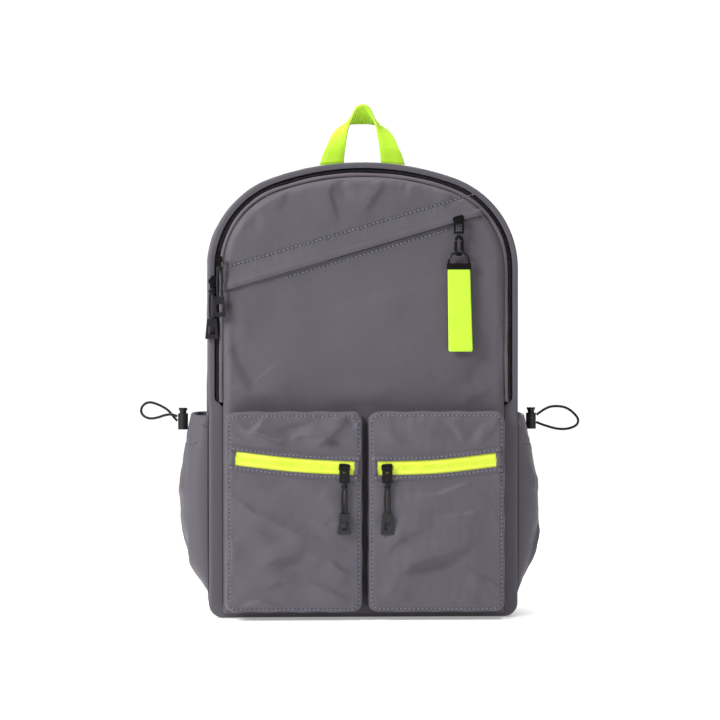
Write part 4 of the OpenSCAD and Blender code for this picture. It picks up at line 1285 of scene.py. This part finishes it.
def add_handle():
    """A webbing loop whose middle is folded over: its inner edge leans forward and its outer one back."""
    base = BODY_H + 0.3 * MM
    edges = []
    for foot, stations in ((FOOT_IN, [a for a, b in HANDLE_HALF]), (FOOT_OUT, [b for a, b in HANDLE_HALF])):
        line = []
        for share, lean, height in stations:
            line.append(Vector((-foot * share, HANDLE_PLANE - lean * MM, base + HANDLE_H * height)))
        mirror = [Vector((-p.x, p.y, p.z)) for p in reversed(line[:-1])]
        line = smooth_line(line + mirror, 1.2 * MM)
        edges.append(even_line(line, line_length(line) / HANDLE_STEPS))
    inner, outer = edges
    n = min(len(inner), len(outer))
    section = [(-1, 0.0), (-0.985, 0.75), (-0.94, 1.0), (-0.7, 0.96), (-0.35, 1.05), (0, 0.98), (0.35, 1.05),
               (0.7, 0.96), (0.94, 1.0), (0.985, 0.75), (1, 0.0), (0.985, -0.75), (0.94, -1), (0.35, -1),
               (-0.35, -1), (-0.94, -1), (-0.985, -0.75)]
    verts = []
    for i in range(n):
        a, b = inner[i], outer[i]
        heading = ((inner[min(i + 1, n - 1)] + outer[min(i + 1, n - 1)])
                   - (inner[max(i - 1, 0)] + outer[max(i - 1, 0)])).normalized()
        normal = (b - a).cross(heading).normalized()
        if normal.y > 0 and i in (0, n - 1):
            normal = -normal
        bow = 0.8 * MM * math.sin(math.pi * i / (n - 1))
        for s, t in section:
            p = a.lerp(b, (s + 1) / 2)
            verts.append(p + normal * (t * HANDLE_T / 2 + bow * (1 - s * s)))
    k = len(section)
    faces = grid_faces(n, k, wrap_v=True)
    faces += [tuple(range(k)), tuple((n - 1) * k + j for j in range(k - 1, -1, -1))]
    piece = add_mesh("haul_handle", verts, faces)
    lay_weave(piece, lambda vertex: ((section[vertex % k][0] + 1) / 2, vertex // k / (n - 1)))
    face_out(piece)
    return place(piece, "handle", LIME_WEB, ["haul_handle"])


add_handle()


# ---------------------------------------------------------------- back padding and straps

def outline_gap(points, x, z):
    """Distance inside a closed outline of (x, z) points, for arrays."""
    pts = [np.array(p, float) for p in points]
    nearest = np.full(x.shape, 1e9)
    for a, b in zip(pts, pts[1:] + pts[:1]):
        d = b - a
        t = np.clip(((x - a[0]) * d[0] + (z - a[1]) * d[1]) / max(float(d @ d), 1e-12), 0, 1)
        nearest = np.minimum(nearest, np.hypot(x - a[0] - t * d[0], z - a[1] - t * d[1]))
    return nearest


def add_pad(name, box_low, box_high, radius, crown, channels=()):
    """A rounded pad on the back panel, crowned toward +Y, with sewn channels across it."""
    middle = np.array([(a + b) / 2 for a, b in zip(box_low, box_high)])
    half = [(b - a) / 2 for a, b in zip(box_low, box_high)]
    count, rings = 180, 40
    ring0 = rounded_box(middle, half, radius, count)
    start = np.array([(p.x, p.z) for p in ring0])
    verts = []
    base_y = BACK_Y + 0.2 * MM
    for k in np.concatenate([[1.0], np.linspace(1.0, 0.9, 14), np.linspace(0.9, 0, rings)[1:-1]]):
        ring = middle + (start - middle) * k
        x, z = ring[:, 0], ring[:, 1]
        gap = np.maximum(outline_gap(start[::4], x, z), 0) if k < 1 else np.zeros(len(x))
        dome = round_rise(gap, 7 * MM)
        y = base_y + crown * (0.22 + 0.78 * dome) if verts else np.full(len(x), base_y)
        if verts:
            for level in channels:
                y = y - 0.42 * crown * np.exp(-((z - level) / (2.6 * MM)) ** 2) * dome
            y = y - 0.22 * crown * np.exp(-((gap - 4 * MM) / (1.1 * MM)) ** 2)
            y = y + 0.25 * MM * ripple(x, z, 20 * MM, 7) * dome
        verts.extend(zip(x, y, z))
    return domed_mesh(name, verts, len(ring0), middle)


def pad_box(node):
    return (low(node).x, low(node).z), (high(node).x, high(node).z)


def add_back_padding():
    top_z, foot_z = high("back_padding").z, 136 * MM
    out_x, in_x = high("back_padding").x, 12 * MM
    crown = high("back_padding").y - BACK_Y - 0.4 * MM
    levels = [foot_z + (top_z - foot_z) * k / 5 for k in range(1, 5)]
    low_foot, low_top, low_x = low("back_padding").z, 116 * MM, 52 * MM
    for name, a, b, rows in (("back_pad_left", (-out_x, foot_z), (-in_x, top_z), levels),
                             ("back_pad_right", (in_x, foot_z), (out_x, top_z), levels),
                             ("lumbar_pad", (-low_x, low_foot), (low_x, low_top), [])):
        piece = add_pad(name, a, b, 14 * MM, crown, rows)
        place(piece, "bag", MESH_CLOTH, ["back_padding"] if name == "lumbar_pad" else [])
        face_out(piece)


STRAP_TOP_Z = 421 * MM
STRAP_DROP = 273 * MM
STRAP_N = 60


def strap_station(side, t):
    middle = 42 + 34 * math.sin(math.radians(115 * t ** 0.9))
    half = (62 - 22 * t) / 2
    out = 71 + 36 * math.sin(math.radians(180 * t)) ** 0.8
    return side * middle * MM, half * MM, STRAP_TOP_Z - STRAP_DROP * t, out * MM


def add_strap(side, tag):
    """A padded shoulder strap: a rounded cushion of strap cloth, and bound edges."""
    thick = 10 * MM
    section = []
    for k in range(28):
        a = 2 * math.pi * k / 28
        c, s = math.cos(a), math.sin(a)
        section.append((math.copysign(abs(c) ** 0.35, c), math.copysign(abs(s) ** 0.75, s)))
    stations = [strap_station(side, k / STRAP_N) for k in range(STRAP_N + 1)]
    verts = []
    for k, (x, half, z, y) in enumerate(stations):
        before, after = stations[max(k - 1, 0)], stations[min(k + 1, STRAP_N)]
        run = Vector((0, after[3] - before[3], after[2] - before[2])).normalized()
        out = Vector((0, -run.z, run.y))
        if out.y < 0:
            out = -out
        end = min(k, STRAP_N - k)
        share = math.sqrt(min(1, 0.35 + end / 3))
        ribs = 1 - 0.10 * math.exp(-((k % 10) - 5) ** 2 / 1.2)
        for a, b in section:
            p = Vector((x, y + thick / 2, z)) + Vector((a * (half - 0.6 * MM), 0, 0)) \
                + out * (b * thick / 2 * 0.92 * share * ribs)
            verts.append(p)
    n = len(section)
    faces = ring_faces(STRAP_N + 1, n)
    faces += [tuple(range(n - 1, -1, -1)), tuple(STRAP_N * n + j for j in range(n))]
    piece = add_mesh("shoulder_strap_" + tag, verts, faces)
    place(piece, "bag", STRAP_CLOTH, ["shoulder_strap_" + tag])
    face_out(piece)
    edges = []
    for sign in (-1, 1):
        line = []
        for k, (x, half, z, y) in enumerate(stations):
            line.append(Vector((x + sign * (half - 1.4 * MM), y + thick / 2, z)))
        edges.append(tube_mesh(line, 1.7 * MM, 10))
    place(join_meshes("strap_binding_" + tag, edges), "bag", ZIP_TAPE)


def add_yoke():
    a, b = pad_box("strap_yoke")
    piece = add_pad("strap_yoke", a, b, 5 * MM, high("strap_yoke").y - BACK_Y - 0.4 * MM)
    place(piece, "bag", STRAP_CLOTH, ["strap_yoke"])
    face_out(piece)


add_back_padding()
add_yoke()
for strap_side, tag in ((-1, "left"), (1, "right")):
    add_strap(strap_side, tag)


# ---------------------------------------------------------------- webbing and other soft pieces

def web_object(name, points, across, normals, width, thick):
    """A webbing band with its weave laid along it."""
    verts, faces = ribbon_mesh(points, across, normals, width, thick)
    piece = add_mesh(name, verts, faces)
    thicken(piece, 0)
    per_ring = len(verts) // len(points)
    spans = [0.0]
    for a, b in zip(points, points[1:]):
        spans.append(spans[-1] + (b - a).length)

    def spot(vertex):
        ring = vertex // per_ring
        offset = (piece.data.vertices[vertex].co - points[ring]).dot(across[ring])
        return offset / width + 0.5, spans[ring] / (2.4 * width)
    lay_weave(piece, spot)
    return piece


def steady(points, across):
    """The same width direction at every point, and the normals that go with it."""
    normals = []
    for heading, _, _ in frames_along(points):
        normals.append(heading.cross(across).normalized())
    return [across] * len(points), normals


def add_key_webbing():
    """The key tab: a band that runs up through the crimp and back down."""
    a, b = low("key_webbing"), high("key_webbing")
    x, y0, y1 = (a.x + b.x) / 2, a.y, b.y
    thick = 1.6 * MM
    top, foot = b.z, a.z
    fold_r = (y1 - y0 - thick) / 2
    front = [Vector((x, y0 + thick / 2, top - (top - foot - fold_r - 1 * MM) * k / 30)) for k in range(31)]
    turn = []
    for k in range(1, 12):
        angle = math.pi * k / 12
        turn.append(Vector((x, y0 + thick / 2 + fold_r - fold_r * math.cos(angle),
                            foot + fold_r + 1 * MM - (fold_r + 0.2 * MM) * math.sin(angle))))
    back = [Vector((x, y1 - thick / 2, p.z)) for p in reversed(front)]
    points = front + turn + back
    for p in points:
        share = (top - p.z) / (top - foot)
        near = (y1 - p.y) / (y1 - y0)
        p.y += 0.5 * MM * math.sin(math.pi * share * 1.2) * (1 - 0.4 * near)
        p.x += (0.4 + 2.8 * near) * MM * share
    across, normals = steady(points, Vector((1, 0, 0)))
    piece = web_object("key_webbing", points, across, normals, b.x - a.x, thick)
    place(piece, "key_tab", LIME_WEB, ["key_webbing"])


WEB_T = 1.6 * MM
ADJUSTER_W = 25 * MM


def add_adjusters(side, tag):
    """A strap's adjuster: its run up from the anchor, its turn in the ladder lock, and its loose tail."""
    a, b = low("adjuster_webbing_" + tag), high("adjuster_webbing_" + tag)
    frame_a, frame_b = low("ladder_lock_" + tag), high("ladder_lock_" + tag)
    x_top, z_top = (frame_a.x + frame_b.x) / 2, frame_a.z
    run_y = BACK_Y + 6 * MM
    run_foot = Vector((side * 119 * MM, run_y, 56 * MM))
    run_top = Vector((x_top, run_y, z_top + 4 * MM))
    rise = run_top - run_foot
    run = smooth_line([run_foot - rise * 0.06, run_foot, run_foot.lerp(run_top, 0.5) + BACKWARD * (1.2 * MM),
                       run_top + Vector((0, 1.0, -4)) * MM, run_top + Vector((0, 3, 0.5)) * MM], 3 * MM)
    tail_y, tail_top, tail_foot = b.y - 0.8 * MM, z_top + 9 * MM, a.z
    tail = smooth_line([Vector((x_top, tail_y, tail_top)),
                        Vector((x_top, tail_y + 0.6 * MM, tail_top - 20 * MM)),
                        Vector((x_top, tail_y - 0.8 * MM, (tail_top + tail_foot) / 2)),
                        Vector((x_top, tail_y + 0.4 * MM, tail_foot))], 3 * MM)
    depth = frame_b.y - BACK_Y - 3 * MM
    turn = [Vector((x_top, run_y + depth * k / 8, z_top + 7 * MM)) for k in range(9)]
    node = "adjuster_webbing_" + tag
    for part, line, across, replaces in (("run", run, BACKWARD.cross(rise.normalized()).normalized(), [node]),
                                         ("tail", tail, Vector((1, 0, 0)), []),
                                         ("turn", turn, Vector((1, 0, 0)), [])):
        rows, normals = steady(line, across)
        piece = web_object(f"adjuster_{part}_{tag}", line, rows, normals, ADJUSTER_W, WEB_T)
        place(piece, "bag", BLACK_WEB, replaces)


def plate_object(name, outline, y_front, y_back, edge, crown, body, material, replaces,
                 toward=BACKWARD):
    """A soft plate of an outline of (x, z) points, crowned on the side that faces toward."""
    closed = [Vector((p[0], 0, p[1])) for p in outline + outline[:1]]
    ring0 = even_line(closed, line_length(closed) / 160)[:-1]
    start = np.array([(p.x, p.z) for p in ring0])
    middle = start.mean(0)
    hidden, shown = (y_front, y_back) if toward.y > 0 else (y_back, y_front)
    way = 1 if toward.y > 0 else -1
    verts = [(x, hidden, z) for x, z in start]
    for k in np.concatenate([np.linspace(1.0, 0.9, 9), np.linspace(0.9, 0, 24)[1:-1]]):
        ring = middle + (start - middle) * k
        gap = outline_gap(start[::3], ring[:, 0], ring[:, 1]) if k < 1 else np.zeros(len(ring))
        dome = round_rise(gap, edge)
        y = shown - way * edge * 0.6 * (1 - dome) + way * crown * smoothstep(gap / (8 * edge))
        y = y + way * 0.2 * MM * ripple(ring[:, 0], ring[:, 1], 25 * MM, 15) * dome
        verts.extend(zip(ring[:, 0], y, ring[:, 1]))
    piece = domed_mesh(name, verts, len(ring0), middle)
    thicken(piece, 0)
    return place(piece, body, material, replaces)


def add_anchors():
    for side, tag in ((-1, "left"), (1, "right")):
        corners = ((149, 18), (149, 72), (101, 68), (101, 46), (125, 18))
        outline = [(side * x * MM, z * MM) for x, z in corners]
        plate_object("strap_anchor_" + tag, outline, BACK_Y, high("strap_anchors").y,
                     2 * MM, 0.3 * MM, "bag", SHELL, ["strap_anchors"] if side < 0 else [])


def add_sleeve():
    a, b = low("laptop_sleeve"), high("laptop_sleeve")
    r = 8 * MM
    outline = [(a.x, a.z + r), (a.x + r, a.z), (b.x - r, a.z), (b.x, a.z + r),
               (b.x, b.z - 2 * MM), (b.x - 2 * MM, b.z), (a.x + 2 * MM, b.z), (a.x, b.z - 2 * MM)]
    plate_object("laptop_sleeve", outline, a.y + 1.5 * MM, b.y, 3 * MM, 1.2 * MM, "bag", LINING,
                 ["laptop_sleeve"], FORWARD)
    band = [Vector((a.x + (b.x - a.x) * k / 60, a.y + 1.4 * MM, b.z - 5 * MM)) for k in range(61)]
    rows = [Vector((0, 0, 1))] * len(band)
    piece = web_object("sleeve_binding", band, rows, [FORWARD] * len(band), 9 * MM, 1.6 * MM)
    place(piece, "bag", BLACK_WEB)


def add_diagonal_zip():
    a, b = low("diagonal_zip"), high("diagonal_zip")
    start = Vector((a.x, FRONT_Y, fold_z(a.x) + 0.9 * MM))
    end = Vector((b.x, FRONT_Y, fold_z(b.x) + 0.9 * MM))
    line = even_line([start, end], 1.6 * MM)
    for p in line:
        p.y = float(panel_y(np.array(p.x), np.array(p.z))) - 0.5 * MM
    up = (end - start).normalized()
    across = Vector((-up.z, 0, up.x))
    parts = [ribbon_mesh(line, [across] * len(line), [FORWARD] * len(line), 4.4 * MM, 0.8 * MM)]
    piece = join_meshes("diagonal_zip", parts)
    place(piece, "flap", ZIP_TAPE, ["diagonal_zip"])
    half = (1.5 * MM, 0.6 * MM, 0.5 * MM)
    teeth = [box_mesh(p + FORWARD * (0.7 * MM), (across, BACKWARD, up), half) for p in line]
    piece = join_meshes("diagonal_teeth", teeth)
    piece.data.shade_flat()
    place(piece, "flap", ZIP_TEETH)


# ---------------------------------------------------------------- pull cords

KNOT_R = 3.2 * MM
STRAND_R = 1.1 * MM


def knot_parts(centre, radius):
    """An overhand knot: three turns of cord wrapped over one another."""
    parts = []
    for turn, tilt in ((0.0, 0.5), (2.1, -0.45), (4.2, 0.2)):
        line = []
        for k in range(25):
            a = 2 * math.pi * k / 24
            spot = Vector((radius * 0.74 * math.cos(a), radius * 0.62 * math.sin(a + turn * 0.3),
                           radius * 0.55 * math.sin(a) * tilt * 2 + radius * 0.3 * math.sin(2 * a + turn)))
            line.append(centre + spot)
        parts.append(tube_mesh(line, STRAND_R * 1.02, 9))
    return parts


def add_pull_cord(node, body, bow):
    a, b = low(node), high(node)
    x, y = (a.x + b.x) / 2, (a.y + b.y) / 2
    knot = Vector((x, y, b.z - KNOT_R))
    parts = knot_parts(knot, KNOT_R)
    for side in (-1, 1):
        top, foot = knot - Vector((0, 0, KNOT_R * 0.5)), Vector((x + side * 1.9 * MM, y, a.z + 0.5 * MM))
        line = smooth_line([top, Vector((x + side * 1.7 * MM, y, knot.z - KNOT_R * 1.2)),
                            Vector((x + side * (2.0 + bow) * MM, y, (knot.z + foot.z) / 2)), foot], 1.0 * MM)
        parts.append(tube_mesh(line, STRAND_R, 10))
    piece = join_meshes(node, parts)
    place(piece, body, CORD_BRAID, [node])


add_key_webbing()
for strap_side, tag in ((-1, "left"), (1, "right")):
    add_adjusters(strap_side, tag)
add_anchors()
add_sleeve()
add_diagonal_zip()
for pull, body, bow in (("left_pull_cord", "left_pull", 0.25), ("right_pull_cord", "right_pull", 0.35),
                        ("upper_pull_cord", "upper_pull", 0.1), ("lower_pull_cord", "lower_pull", 0.15)):
    add_pull_cord(pull, body, bow)


# ---------------------------------------------------------------- finishes of the kept solids

KEPT = {
    METAL: ["upper_slider", "upper_pull_link", "lower_slider", "lower_pull_link", "left_slider",
            "left_pull_tab", "right_slider", "right_pull_tab", "diagonal_slider", "diagonal_pull",
            "clasp_body", "clasp_gate", "key_ring", "key_crimp"],
    PLASTIC: ["upper_pull_tip", "lower_pull_tip", "left_pull_tip", "right_pull_tip", "cord_lock_left",
              "cord_lock_right", "lock_button_left", "lock_button_right", "ladder_lock_left",
              "ladder_lock_right"],
    SPRING: ["lock_spring_left", "lock_spring_right"],
}
for material, names in KEPT.items():
    for kept in names:
        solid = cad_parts[kept]
        solid.data.materials.clear()
        solid.data.materials.append(material)
